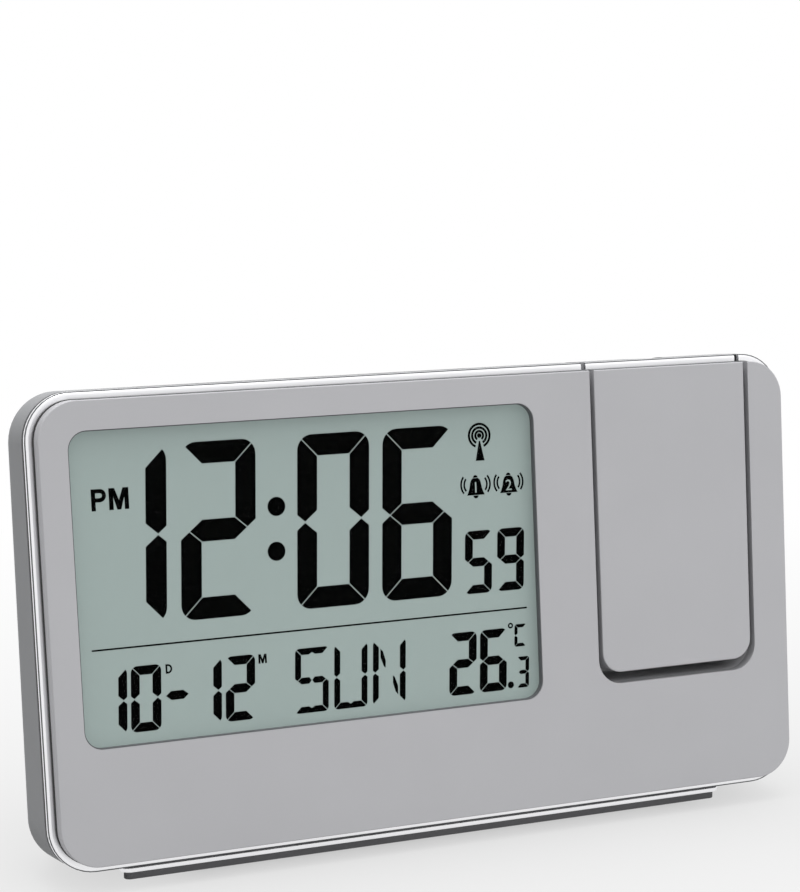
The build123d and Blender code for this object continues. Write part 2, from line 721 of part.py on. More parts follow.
with BuildPart() as spring_contacts:
    for v, x, side in ((cell_high_v, bay_right - contact_plate, -1), (cell_low_v, bay_left, 1)):
        slab(x, x + contact_plate, v - contact_size / 2, v + contact_size / 2,
             cell_depth - contact_size / 2, cell_depth + contact_size / 2)
        spring_start = x if side < 0 else x + contact_plate
        pitch = (spring_length - 2 * spring_wire) / spring_turns
        base = Plane(origin=face_origin + Vector(spring_start, 0, 0) + up * v + back * cell_depth,
                     x_dir=back, z_dir=(side, 0, 0))
        path = base * Pos(0, 0, spring_wire) * Helix(pitch, spring_length - 2 * spring_wire, spring_radius)
        with BuildSketch(Plane(origin=path @ 0, z_dir=path % 0)) as wire:
            Circle(spring_wire)
        sweep(wire.sketch, path=path)
finish(spring_contacts, "spring_contacts")

with BuildPart() as battery_door:
    slab(door_left, door_right, door_axis_v, door_top, door_front, body_depth, door_corner)
    slab(door_left, door_right, door_axis_v, door_low + 2 * door_corner, door_front, body_depth)
    rod_across(door_left, door_right, door_axis_v, door_axis_d, door_thickness / 2)
    rod_across(door_left - door_pivot_length, door_right + door_pivot_length, door_axis_v, door_axis_d,
               door_pivot)
    middle = (door_left + door_right) / 2
    slab(middle - thumb_width / 2, middle + thumb_width / 2, door_top - thumb_height, door_top + thumb_height,
         body_depth - thumb_depth, body_depth, thumb_height / 2, mode=Mode.SUBTRACT)
finish(battery_door, "battery_door")

with BuildPart() as key_board:
    slab(post_left - key_board_end, post_right + key_board_end, key_row - key_board_height / 2,
         key_row + key_board_height / 2, key_board_front, switch_front)
    for x, v in post_places:
        rod_back(x, v, key_board_front, switch_front, board_screw_radius + clearance, mode=Mode.SUBTRACT)
finish(key_board, "key_board")

with BuildPart() as key_switches:
    for x, v in key_places + [(reset_x, key_row)]:
        slab(x - switch_size / 2, x + switch_size / 2, v - switch_size / 2, v + switch_size / 2,
             switch_front, switch_front + switch_height)
        rod_back(x, v, switch_front + switch_height, key_inner - key_travel - clearance, switch_button)
finish(key_switches, "key_switches")

for name, (x, v) in zip(key_names, key_places):
    with BuildPart() as key:
        slab(x - key_width / 2, x + key_width / 2, v - key_height / 2, v + key_height / 2,
             key_inner, body_depth + key_proud, key_corner)
        fillet(rear_edges(key), key_edge)
        slab(x - key_width / 2 - key_flange, x + key_width / 2 + key_flange, v - key_height / 2 - key_flange,
             v + key_height / 2 + key_flange, key_inner, key_inner + key_flange_height, key_corner)
    finish(key, name)

with BuildPart() as reset_pin:
    rod_back(reset_x, key_row, key_inner, body_depth - reset_sunk, reset_radius)
    rod_back(reset_x, key_row, key_inner, key_inner + key_flange_height, reset_radius + key_flange)
finish(reset_pin, "reset_pin")

with BuildPart() as slide_switch:
    slab(slider_x - slider_width / 2 - slider_flange,
         slider_x + slider_width / 2 + slider_travel + slider_flange,
         key_row - slider_height / 2 - key_flange, key_row + slider_height / 2 + key_flange,
         switch_front, key_inner - slide_gap)
finish(slide_switch, "slide_switch")

with BuildPart() as projection_slider:
    slab(slider_x - slider_width / 2, slider_x + slider_width / 2, key_row - slider_height / 2,
         key_row + slider_height / 2, key_inner, body_depth + slider_proud)
    for ridge in (-1, 0, 1):
        x = slider_x + ridge * slider_width / 4
        slab(x - key_edge / 2, x + key_edge / 2, key_row - slider_height, key_row + slider_height,
             body_depth + slider_proud - key_edge, body_depth + slider_proud, mode=Mode.SUBTRACT)
    slab(slider_x - slider_width / 2 - slider_flange, slider_x + slider_width / 2 + slider_flange,
         key_row - slider_height / 2 - key_flange, key_row + slider_height / 2 + key_flange,
         key_inner, key_inner + key_flange_height)
finish(projection_slider, "projection_slider")

with BuildPart() as power_jack:
    slab(jack_x - jack_width / 2, jack_x + jack_width / 2, jack_v - jack_height / 2, jack_v + jack_height / 2,
         jack_front, back_wall)
    rod_back(jack_x, jack_v, jack_front, body_depth, jack_barrel)
    rod_back(jack_x, jack_v, jack_bore_front, body_depth, jack_bore, mode=Mode.SUBTRACT)
    rod_back(jack_x, jack_v, jack_bore_front - jack_pin, body_depth - jack_bore / 2, jack_pin)
finish(power_jack, "power_jack")

with BuildPart() as case_screws:
    for x, v in screw_places:
        rod_back(x, v, screw_seat - screw_reach - screw_radius, screw_seat, screw_radius)
        rod_back(x, v, screw_seat, screw_seat + screw_head_height, screw_head)
finish(case_screws, "case_screws")

with BuildPart() as board_screws:
    for x, v in ear_places:
        rod_back(x, v, board_back - board_screw_length, board_back, board_screw_radius)
        rod_back(x, v, board_back, board_back + board_screw_head_height, board_screw_head)
    for x, v in post_places:
        rod_back(x, v, key_board_front, key_board_front + board_screw_length, board_screw_radius)
        rod_back(x, v, key_board_front - board_screw_head_height, key_board_front, board_screw_head)
finish(board_screws, "board_screws")

# ---------------------------------------------------------------- foot

foot_y = face_origin.Y + foot_front + foot_depth / 2
foot_width = outline_width - 2 * foot_inset

with BuildSketch() as foot_plan:
    with Locations((0, foot_y)):
        Trapezoid(foot_width, foot_depth, foot_taper)
    fillet(foot_plan.vertices(), foot_corner)

with BuildPart() as base_pad:
    with BuildSketch():
        add(foot_plan.sketch)
        offset(amount=-pad_inset)
    extrude(amount=pad_height)
    fillet(base_pad.faces().sort_by(Axis.Z)[0].edges(), pad_height / 12)
finish(base_pad, "base_pad")

with BuildPart() as pedestal:
    with BuildSketch(Plane.XY.offset(pad_height)):
        add(foot_plan.sketch)
    extrude(amount=pedestal_height)
    fillet(pedestal.edges().group_by(Axis.Z)[-1] + pedestal.edges().group_by(Axis.Z)[0], foot_edge)
finish(pedestal, "pedestal")

# ---------------------------------------------------------------- projector arm and its cradle

focus_radius = (arm_depth - arm_wall - focus_front_gap + focus_proud) / 2
optic_depth = arm_depth + focus_proud - focus_radius     # axis of the projector inside the arm
arm_screw_seat = arm_depth - arm_screw_recess
tube_low = hinge_height - tube_drop
tube_bore = tube_radius - tube_wall
focus_low = hinge_height - focus_drop
carrier_low = hinge_height - carrier_drop
carrier_radius = tube_bore - running_fit
lens_radius = carrier_radius - carrier_wall
housing_low, housing_high = arm_low + housing_rise, tube_low - clearance
housing_reach = arm_depth - arm_wall - clearance - optic_depth
duct_reach = housing_reach - housing_wall
cell_plate_low = housing_high - cell_plate_drop
condenser_low = cell_plate_low - condenser_drop
arm_screw_height = arm_low + arm_screw_rise

with BuildPart() as arm_cradle:
    slab(pocket_left - cradle_wall, pocket_right + cradle_wall, pocket_low - cradle_wall, top,
         rim_depth + clearance, cradle_back)
    slab(pocket_left - cradle_wall, half_outline, notch_low - cradle_wall, top, cradle_back, body_depth)
    add(inner_form, mode=Mode.INTERSECT)
    slab(pocket_left - cradle_wall, pocket_right + cradle_wall, pocket_low - cradle_wall,
         face_height - rim_wall - clearance, panel_wall, rim_depth + clearance)
    slab(pocket_left, pocket_right, pocket_low, 2 * face_height, 0, pocket_back, pocket_corner,
         mode=Mode.SUBTRACT)
    slab(pocket_left, pocket_right, notch_low, 2 * face_height, 0, 2 * body_depth, mode=Mode.SUBTRACT)
    slab(pocket_left, outline_width, notch_low, 2 * face_height, notch_front, 2 * body_depth,
         mode=Mode.SUBTRACT)
    rod_across(-face_width, face_width, hinge_height, hinge_depth, pin_radius + screw_fit, mode=Mode.SUBTRACT)
finish(arm_cradle, "arm_cradle")

with BuildPart() as hinge_pins:
    rod_across(pocket_left - cradle_wall - pin_head_height, pocket_left - cradle_wall, hinge_height,
               hinge_depth, pin_head)
    rod_across(pocket_left - cradle_wall, arm_left + pin_reach, hinge_height, hinge_depth, pin_radius)
    rod_across(pocket_right + cradle_wall, pocket_right + cradle_wall + pin_head_height, hinge_height,
               hinge_depth, pin_head)
    rod_across(arm_right - pin_reach, pocket_right + cradle_wall, hinge_height, hinge_depth, pin_radius)
finish(hinge_pins, "hinge_pins")

with BuildPart() as hinge_washers:
    for x in (pocket_left, arm_right):
        rod_across(x + clearance, x + arm_gap - clearance, hinge_height, hinge_depth, washer_radius)
    rod_across(pocket_left, pocket_right, hinge_height, hinge_depth, pin_radius + running_fit,
               mode=Mode.SUBTRACT)
finish(hinge_washers, "hinge_washers")

with BuildPart() as arm_cover:
    slab(arm_left, arm_right, arm_low, 2 * face_height, 0, arm_split, arm_corner)
    slab(arm_left, arm_right, face_height, 3 * face_height, 0, arm_split, mode=Mode.SUBTRACT)
    fillet(front_edges(arm_cover), face_edge)
    slab(arm_left + arm_wall, arm_right - arm_wall, arm_low + arm_wall, face_height - arm_wall, arm_wall,
         arm_split, arm_corner - arm_wall, mode=Mode.SUBTRACT)
    for side in (-1, 1):
        rod_back(arm_centre + side * arm_screw_spread / 2, arm_screw_height, arm_wall, arm_split, arm_boss)
        rod_back(arm_centre + side * arm_screw_spread / 2, arm_screw_height, arm_wall, arm_split,
                 arm_screw_radius + screw_fit, mode=Mode.SUBTRACT)
finish(arm_cover, "arm_cover")

with BuildPart() as arm_trim:
    add(frame_form.part)
    slab(arm_left, arm_right, face_height / 2, 2 * face_height, 0, body_depth, mode=Mode.INTERSECT)
finish(arm_trim, "arm_trim")

with BuildPart() as arm_back:
    slab(arm_left, arm_right, arm_low, 2 * face_height, arm_split, arm_depth, arm_corner)
    slab(arm_left, arm_right, top, 3 * face_height, arm_split, arm_depth, mode=Mode.SUBTRACT)
    top_rear = arm_back.edges().filter_by(Axis.X).group_by(up_axis)[-1].sort_by(rear_axis)[-1]
    fillet(top_rear, arm_back_round)
    slab(arm_left + arm_wall, arm_right - arm_wall, arm_low + arm_wall, top - arm_back_round, arm_split,
         arm_depth - arm_wall, arm_corner - arm_wall, mode=Mode.SUBTRACT)
    slab(arm_left + arm_wall, arm_right - arm_wall, top / 2, top - arm_wall, arm_split,
         arm_depth - arm_back_round, mode=Mode.SUBTRACT)
    for side in (-1, 1):
        x = arm_centre + side * arm_screw_spread / 2
        rod_back(x, arm_screw_height, arm_split + clearance, arm_depth, arm_boss)
        rod_back(x, arm_screw_height, arm_split, arm_screw_seat, arm_screw_radius + clearance,
                 mode=Mode.SUBTRACT)
        rod_back(x, arm_screw_height, arm_screw_seat, arm_depth, arm_screw_head + clearance,
                 mode=Mode.SUBTRACT)
    rod_across(arm_left, arm_left + arm_wall + pin_reach, hinge_height, hinge_depth, hinge_boss)
    rod_across(arm_right - arm_wall - pin_reach, arm_right, hinge_height, hinge_depth, hinge_boss)
    rod_across(arm_left, arm_right, hinge_height, hinge_depth, pin_radius + running_fit, mode=Mode.SUBTRACT)
    rod_up(arm_centre, optic_depth, tube_low, top, beam_hole, mode=Mode.SUBTRACT)
    rod_up(arm_centre, optic_depth, tube_low, top - arm_wall, tube_radius + clearance, mode=Mode.SUBTRACT)
    rod_up(arm_centre, optic_depth, focus_low - slide_gap, focus_low + focus_width + slide_gap,
           focus_radius + slide_gap, mode=Mode.SUBTRACT)
finish(arm_back, "arm_back")


with BuildPart() as projector_tube:
    rod_up(arm_centre, optic_depth, tube_low, top - arm_wall - clearance, tube_radius)
    rod_up(arm_centre, optic_depth, tube_low, top, tube_bore, mode=Mode.SUBTRACT)
finish(projector_tube, "projector_tube")

with BuildPart() as focus_ring:
    rod_up(arm_centre, optic_depth, focus_low, focus_low + focus_width, focus_radius)
    with BuildSketch(at_height(focus_low)):
        with Locations((arm_centre, optic_depth)):
            with PolarLocations(focus_radius, focus_ridges):
                Circle(focus_groove)
    extrude(amount=focus_width, mode=Mode.SUBTRACT)
    rod_up(arm_centre, optic_depth, focus_low, focus_low + focus_width, tube_radius + running_fit,
           mode=Mode.SUBTRACT)
finish(focus_ring, "focus_ring")

with BuildPart() as lens_carrier:
    rod_up(arm_centre, optic_depth, carrier_low, carrier_low + carrier_length, carrier_radius)
    rod_up(arm_centre, optic_depth, carrier_low, carrier_low + carrier_length, lens_radius + screw_fit,
           mode=Mode.SUBTRACT)
finish(lens_carrier, "lens_carrier")

with BuildPart() as projection_lens:
    lens_low = carrier_low + (carrier_length - lens_height) / 2
    rod_up(arm_centre, optic_depth, lens_low, lens_low + lens_height, lens_radius)
    fillet(projection_lens.faces().sort_by(up_axis)[-1].edges(), lens_crown)
finish(projection_lens, "projection_lens")

with BuildPart() as optics_housing:
    slab(arm_centre - housing_width / 2, arm_centre + housing_width / 2, housing_low, housing_high,
         optic_depth - housing_reach, optic_depth + housing_reach)
    slab(arm_centre - housing_width / 2 + housing_wall, arm_centre + housing_width / 2 - housing_wall,
         housing_low, housing_high, optic_depth - duct_reach, optic_depth + duct_reach, mode=Mode.SUBTRACT)
finish(optics_housing, "optics_housing")

with BuildPart() as lamp_board:
    slab(arm_centre - housing_width / 2, arm_centre + housing_width / 2, housing_low - board_thickness,
         housing_low, optic_depth - housing_reach, optic_depth + housing_reach)
finish(lamp_board, "lamp_board")

with BuildPart() as projector_lamp:
    rod_up(arm_centre, optic_depth, housing_low, housing_low + lamp_height, lamp_radius)
    fillet(projector_lamp.faces().sort_by(up_axis)[-1].edges(), lamp_radius * 0.9)
finish(projector_lamp, "projector_lamp")

with BuildPart() as condenser_lens:
    rod_up(arm_centre, optic_depth, condenser_low, condenser_low + lens_height, duct_reach - screw_fit)
    fillet(condenser_lens.faces().sort_by(up_axis)[-1].edges(), lens_crown)
finish(condenser_lens, "condenser_lens")

with BuildPart() as projector_cell:
    slab(arm_centre - housing_width / 2 + housing_wall + screw_fit,
         arm_centre + housing_width / 2 - housing_wall - screw_fit, cell_plate_low,
         cell_plate_low + cell_plate_thickness, optic_depth - duct_reach + screw_fit,
         optic_depth + duct_reach - screw_fit)
finish(projector_cell, "projector_cell")

with BuildPart() as arm_screws:
    for side in (-1, 1):
        x = arm_centre + side * arm_screw_spread / 2
        rod_back(x, arm_screw_height, arm_wall + clearance, arm_screw_seat, arm_screw_radius)
        rod_back(x, arm_screw_height, arm_screw_seat, arm_screw_seat + board_screw_head_height,
                 arm_screw_head)
finish(arm_screws, "arm_screws")
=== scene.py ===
"""Looks of a projection alarm clock: its finishes, its read-out and the studio around it."""
import json
from math import pi, radians, tan

import bpy
from bpy.props import FloatProperty, FloatVectorProperty, PointerProperty, StringProperty
from mathutils import Matrix, Vector


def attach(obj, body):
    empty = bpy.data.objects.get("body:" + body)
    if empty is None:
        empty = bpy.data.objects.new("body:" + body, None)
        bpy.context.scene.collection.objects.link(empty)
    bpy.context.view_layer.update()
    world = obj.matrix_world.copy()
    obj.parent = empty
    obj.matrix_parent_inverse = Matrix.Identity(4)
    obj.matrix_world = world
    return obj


bl_info = {
    "name": "Projection alarm clock",
    "version": (1, 0, 0),
    "blender": (4, 5, 0),
    "location": "3D View > Sidebar > Clock",
    "description": "Dresses the packed projection alarm clock with finishes and its read-out",
    "category": "Object",
}

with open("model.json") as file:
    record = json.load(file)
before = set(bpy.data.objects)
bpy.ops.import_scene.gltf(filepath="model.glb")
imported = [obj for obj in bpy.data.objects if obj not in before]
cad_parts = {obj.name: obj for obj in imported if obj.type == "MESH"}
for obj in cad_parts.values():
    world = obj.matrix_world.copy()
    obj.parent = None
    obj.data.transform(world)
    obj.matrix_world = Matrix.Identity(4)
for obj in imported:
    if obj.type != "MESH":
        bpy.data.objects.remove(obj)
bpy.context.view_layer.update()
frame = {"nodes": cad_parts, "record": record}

MM = 0.001
LEAN = radians(5.8)
FACE_FOOT = Vector((0, -16.9501 * MM, 4.8 * MM))    # lower edge of the leaning face
CASE = Matrix.Translation(FACE_FOOT) @ Matrix.Rotation(pi / 2 - LEAN, 4, "X")

CLOCK_MIDDLE = Vector((0, 0, 40 * MM))              # the lamps face this place
SENSOR_WIDTH = 36                                   # mm, as the focal length is
NEAREST, FARTHEST = 0.01, 50                        # what the camera sees, metres

# Places on the leaning face: to the right of its middle, up from its lower edge, depth behind it.
GLASS_DEPTH = 2.35 * MM                     # front of the display glass
CRADLE_BACK = 16.88                         # depth at which the arm's pocket ends, mm
POCKET = (30.455, 63.125)                   # left and right end of the arm's pocket, mm
ARM = (31.365, 62.215)                      # left and right side of the arm, mm
PANEL_TOP = (-63.6, 30.15)                  # straight part of the panel's top edge, mm
WINDOW_MIDDLE = (-23.12 * MM, 45.38 * MM)
PANEL_MIDDLE = (0, 38.15 * MM)
TOP_SHADE_HEIGHT = 76.345 * MM               # middle of the painted shade line on top of panel and arm
THIN_SHADE_LINE = 0.07 * MM                       # width of the painted shade line around the panel and of that top line
SHADE_SIDE_GAP = 0.3                          # the painted shade line around the panel ends this far beside the pocket, mm

# Each dark band of painted shade: the depth of its back, and its thickness from there towards the front.
WINDOW_BORDER = {"depth": 1.18 * MM, "thickness": 0.98 * MM}
PANEL_EDGE_SHADE = {"depth": 2.87 * MM, "thickness": 0.6 * MM}
FRAME_EDGE_SHADE = {"depth": 3.55 * MM, "thickness": 0.5 * MM}
PANEL_SHADE_LINE = {"depth": 2.25 * MM, "thickness": 1.9 * MM}
ARM_SHADE_LINE = {"depth": 2.87 * MM, "thickness": 2.52 * MM}
WINDOW_CORNER, PANEL_SHADE_CORNER, FRAME_SHADE_CORNER = 3.2 * MM, 6.68 * MM, 7.9 * MM

BROAD_DRIFT = 14 * MM                       # size of the slow drift of tone over a surface
FINE_SHARE = 0.35                           # part of the fine texture in the drift of tone
TONE_SPAN, WEAR_SPAN = (0.3, 0.7), (0.25, 0.75)     # values of the noise between which they change
WEAR = 0.07                                 # how far the roughness drifts, as a share of it
WAVE_TURN = 20                              # radians that the wave texture turns in one unit
FLECK_EDGE = 0.05                           # how softly a fleck ends
GROUND_SHARE, GROUND_GLOW = 0.52, 0.47      # the display's tone: share that reflects, and share that glows as painted light
BLACK, WHITE = (0, 0, 0, 1), (1, 1, 1, 1)


def linear(code):
    """Turns an sRGB hex colour into the linear values that shaders take."""
    parts = [int(code[i:i + 2], 16) / 255 for i in (0, 2, 4)]
    return [v / 12.92 if v <= 0.04045 else ((v + 0.055) / 1.055) ** 2.4 for v in parts]


def colour(name, description, code):
    return FloatVectorProperty(name=name, description=description, subtype="COLOR", size=3,
                               min=0, max=1, default=linear(code))


def length(name, description, millimetres):
    return FloatProperty(name=name, description=description, unit="LENGTH", min=0,
                         default=millimetres * MM)


def amount(name, description, value, unit="NONE"):
    return FloatProperty(name=name, description=description, unit=unit, default=value)


def vector(name, description, value, kind="TRANSLATION"):
    return FloatVectorProperty(name=name, description=description, subtype=kind, default=value)


def words(name, description, value):
    return StringProperty(name=name, description=description, default=value)


class ClockColours(bpy.types.PropertyGroup):
    silver: colour("Silver", "Paint of the front panel and the arm", "ADADB0")
    plating: colour("Plating", "Bright satin plating of the frame", "F4F4F6")
    shell: colour("Shell", "Paint of the rear shell", "919294")
    seam: colour("Seam", "Gasket between the frame and the shell", "1A1A1B")
    display: colour("Display", "Reflecting ground of the liquid crystal glass", "9EACA9")
    ink: colour("Ink", "Lit segments of the display", "020202")
    keys: colour("Keys", "Moulded keys at the back", "5C5D60")
    pad: colour("Pad", "Rubber pad under the foot", "616163")


class ClockReadout(bpy.types.PropertyGroup):
    time: words("Time", "Hours and minutes", "12:06")
    seconds: words("Seconds", "Seconds beside the time", "59")
    half: words("Half of the day", "AM or PM", "PM")
    date: words("Date", "Day and month", "10-12")
    weekday: words("Weekday", "The day, in the letters S, U and N", "SUN")
    warmth: words("Temperature", "Degrees and tenths", "26.3")


class ClockSizes(bpy.types.PropertyGroup):
    slant: amount("Slant", "Lean of the digits", radians(2.9), "ROTATION")
    ink_depth: length("Ink", "Thickness of a lit segment", 0.03)
    gap: length("Gap", "Gap between two segments", 0.17)
    time_height: length("Time height", "Height of the time digits", 29.4)
    time_width: length("Time width", "Width of a time digit", 13.25)
    time_stroke: length("Time stroke", "Width of a time segment", 3.62)
    row_height: length("Row height", "Height of the lower row of digits", 10.95)
    row_width: length("Row width", "Width of a lower digit", 5.28)
    row_stroke: length("Row stroke", "Width of a lower segment", 1.52)
    small_height: length("Small height", "Height of the tenths", 5.5)
    small_width: length("Small width", "Width of the tenths", 2.38)
    small_stroke: length("Small stroke", "Segment of the tenths", 0.7)
    letter_width: length("Letter width", "Width of a weekday letter", 6.2)
    letter_stroke: length("Letter stroke", "Width of a letter's segment", 1.1)
    # The window's edge, the lip around the panel and the rim around the frame are thin dark bands of painted
    # shade.
    window_width: length("Window width", "Width of the window's edge", 84.4)
    window_height: length("Window height", "Height of the window's edge", 51.94)
    lip_width: length("Lip width", "Width of the dark lip around the panel", 140.56)
    lip_height: length("Lip height", "Height of the dark lip around the panel", 76.46)
    rim_width: length("Rim width", "Width of the unplated rim around the frame", 143.0)
    rim_height: length("Rim height", "Height of the unplated rim around the frame", 78.9)
    rim_line: length("Rim", "Width of the rim itself, seen from the front", 0.14)
    edge_width: length("Edge", "Width of the window's printed edge", 0.16)


class ClockStudio(bpy.types.PropertyGroup):
    eye: vector("Camera", "Place of the camera", (-0.18999, -0.39961, 0.13364))
    gaze: vector("Gaze", "Turn of the camera", [radians(v) for v in (77.6766, 0.0079, -25.2142)], "EULER")
    lens: amount("Lens", "Focal length in millimetres", 103.207)
    rise: amount("Rise", "Upward shift of the picture", 0.19507)
    floor: colour("Floor", "Colour of the floor", "9A9A9A")
    floor_size: length("Floor size", "Side of the floor", 12000)
    plain: amount("Plain", "Share of plain white in the floor beside the clock", 0.46)
    mirrored: amount("Mirrored", "Share of plain white in the mirrored floor", 0.85)
    reach: length("Reach", "How far from the clock the floor is plain white", 300)
    shade_middle: vector("Shade middle", "Middle of the shaded part of the floor", (0.003, 0, 0))
    shade_half: vector("Shade size", "Half the size of that part", (0.047, 0.011, 0))
    fall: amount("Fall", "Power of the floor's fade, below one for a fast start", 0.35)
    ambient: amount("Ambient", "Light of the surroundings, on the average", 0.59)
    slope: amount("Slope", "How much brighter they are on the side of the light", 1.12)
    light_from: vector("Light from", "Side that most of the light comes from", (0.46, -0.44, 0.77),
                       "DIRECTION")
    key_power: amount("Key", "Power of the large lamp", 1.0, "POWER")
    key_size: length("Key size", "Side of the large lamp", 1100)
    key_away: length("Key distance", "Distance of the large lamp", 1600)
    top_power: amount("Top", "Power of the lamp overhead", 16.0, "POWER")
    top_size: length("Top size", "Side of the lamp overhead", 1200)
    top_place: vector("Top place", "Place of the lamp overhead", (-0.12, 0.1, 1.5))


# ---------------------------------------------------------------- finishes

def add(tree, kind, settings=None, links=None):
    """Adds a shader node: settings fill its properties and sockets, links join its sockets to others."""
    item = tree.nodes.new("ShaderNode" + kind)
    for key, value in (settings or {}).items():
        if isinstance(key, str) and key in item.bl_rna.properties:
            setattr(item, key, value)
        else:
            item.inputs[key].default_value = value
    for key, socket in (links or {}).items():
        tree.links.new(socket, item.inputs[key])
    return item


def worked(tree, kind, operation, *values, out=0):
    """The outcome of a math node, worked out of numbers and sockets of other nodes."""
    item = add(tree, kind, {"operation": operation})
    for socket, value in zip(item.inputs, values):
        if isinstance(value, bpy.types.NodeSocket):
            tree.links.new(value, socket)
        else:
            socket.default_value = value
    return item.outputs[out]


def rgba(tone, factor=1.0):
    """A shader's colour, from linear values or from an sRGB hex colour."""
    values = linear(tone) if isinstance(tone, str) else tone
    return (*[min(1.0, v * factor) for v in values], 1)


def graded(tree, value, stops):
    """Turns a value into a colour between two stops, each a position and a colour."""
    ramp = add(tree, "ValToRGB", {}, {"Fac": value})
    for end, (position, shade) in zip(ramp.color_ramp.elements, stops):
        end.position, end.color = position, shade
    return ramp.outputs["Color"]


def finish(name, tone, roughness, metallic=0.0, grain=0.4, relief=0.0, mottle=0.04, shine=0.5, **extra):
    """Makes a finish: tone and roughness drift slowly over the surface, grain is the size of its fine
    texture and relief its height, both in millimetres, mottle is how far the tone drifts, and shine how
    strongly a coat mirrors. Other settings of the shader go by their own names."""
    material = bpy.data.materials.new(name)
    material.use_nodes = True
    tree = material.node_tree
    tree.nodes.clear()
    place = add(tree, "TexCoord").outputs["Object"]
    fine = add(tree, "TexNoise", {"Scale": 1 / (grain * MM), "Detail": 3, "Roughness": 0.6},
               {"Vector": place})
    broad = add(tree, "TexNoise", {"Scale": 1 / BROAD_DRIFT, "Detail": 2}, {"Vector": place})
    drift = add(tree, "MixRGB", {"Fac": FINE_SHARE}, {1: broad.outputs["Fac"], 2: fine.outputs["Fac"]})
    base = graded(tree, drift.outputs["Color"],
                  zip(TONE_SPAN, (rgba(tone, 1 - mottle), rgba(tone, 1 + mottle))))
    wear = add(tree, "MapRange",
               {"From Min": WEAR_SPAN[0], "From Max": WEAR_SPAN[1],
                "To Min": roughness * (1 - WEAR), "To Max": min(1, roughness * (1 + WEAR))},
               {"Value": fine.outputs["Fac"]})
    surface = add(tree, "BsdfPrincipled", {"Metallic": metallic, "Specular IOR Level": shine, **extra},
                  {"Base Color": base, "Roughness": wear.outputs["Result"]})
    if relief:
        raised(tree, surface, fine.outputs["Fac"], relief)
    add(tree, "OutputMaterial", {}, {"Surface": surface.outputs["BSDF"]})
    return material


def raised(tree, surface, height, relief):
    """Raises a surface by relief millimetres where the height is white."""
    bump = add(tree, "Bump", {"Distance": relief * MM, "Strength": 1.0}, {"Height": height})
    tree.links.new(bump.outputs["Normal"], surface.inputs["Normal"])


def opened(material):
    """The node tree of a finish, its shader, and the place on the piece that it reads."""
    tree = material.node_tree
    surface = next(n for n in tree.nodes if n.type == "BSDF_PRINCIPLED")
    return tree, surface, next(n for n in tree.nodes if n.type == "TEX_COORD").outputs["Object"]


def toned(tree, surface, tone, mask):
    """Gives a surface another tone where the mask is white."""
    base = surface.inputs["Base Color"].links[0].from_socket
    mixed = add(tree, "MixRGB", {2: rgba(tone)}, {"Fac": mask, 1: base})
    tree.links.new(mixed.outputs["Color"], surface.inputs["Base Color"])


def striped(material, tone, pitch, sharp=0.1, relief=0.0):
    """Lays stripes of another tone over a finish, pitch millimetres apart from left to right; sharp is
    half the share of the wave in which one tone turns into the other."""
    tree, surface, place = opened(material)
    wave = add(tree, "TexWave", {"wave_type": "BANDS", "bands_direction": "X", "wave_profile": "SIN",
                                 "Scale": 2 * pi / (WAVE_TURN * pitch * MM)}, {"Vector": place})
    toned(tree, surface, tone,
          graded(tree, wave.outputs["Fac"], ((0.5 - sharp, BLACK), (0.5 + sharp, WHITE))))
    if relief:
        raised(tree, surface, wave.outputs["Fac"], relief)
    return material


def speckled(material, tone, cell, share):
    """Scatters round flecks of another tone over a finish, cells of cell millimetres, the flecks
    filling a share of them."""
    tree, surface, place = opened(material)
    cells = add(tree, "TexVoronoi", {"Scale": 1 / (cell * MM)}, {"Vector": place})
    toned(tree, surface, tone,
          graded(tree, cells.outputs["Distance"], ((share, WHITE), (share + FLECK_EDGE, BLACK))))
    return material


def parted(material, tone, depth):
    """Gives what lies deeper behind the face than depth millimetres another tone."""
    tree, surface, place = opened(material)
    back = CASE.to_3x3() @ Vector((0, 0, -1))
    deep = worked(tree, "VectorMath", "DOT_PRODUCT", place, back, out="Value")
    toned(tree, surface, tone,
          worked(tree, "Math", "GREATER_THAN", deep, back.dot(FACE_FOOT) + depth * MM))
    return material


def clear(name, tone, alpha, roughness=0.04):
    """Makes a see-through finish that shows mostly what lies behind it."""
    return finish(name, tone, roughness, grain=2, mottle=0.01, Alpha=alpha)


def lit_ground(name, tone):
    """The display's ground: partly lit from in front, partly glowing; the glow stands in for the backlight
    and is painted light that evens out the shade at the window's edge.
    """
    return finish(name, [v * GROUND_SHARE for v in tone], 0.5, grain=0.3, mottle=0.012, shine=0.1,
                  **{"Emission Color": rgba(tone, GROUND_GLOW), "Emission Strength": 1.0})


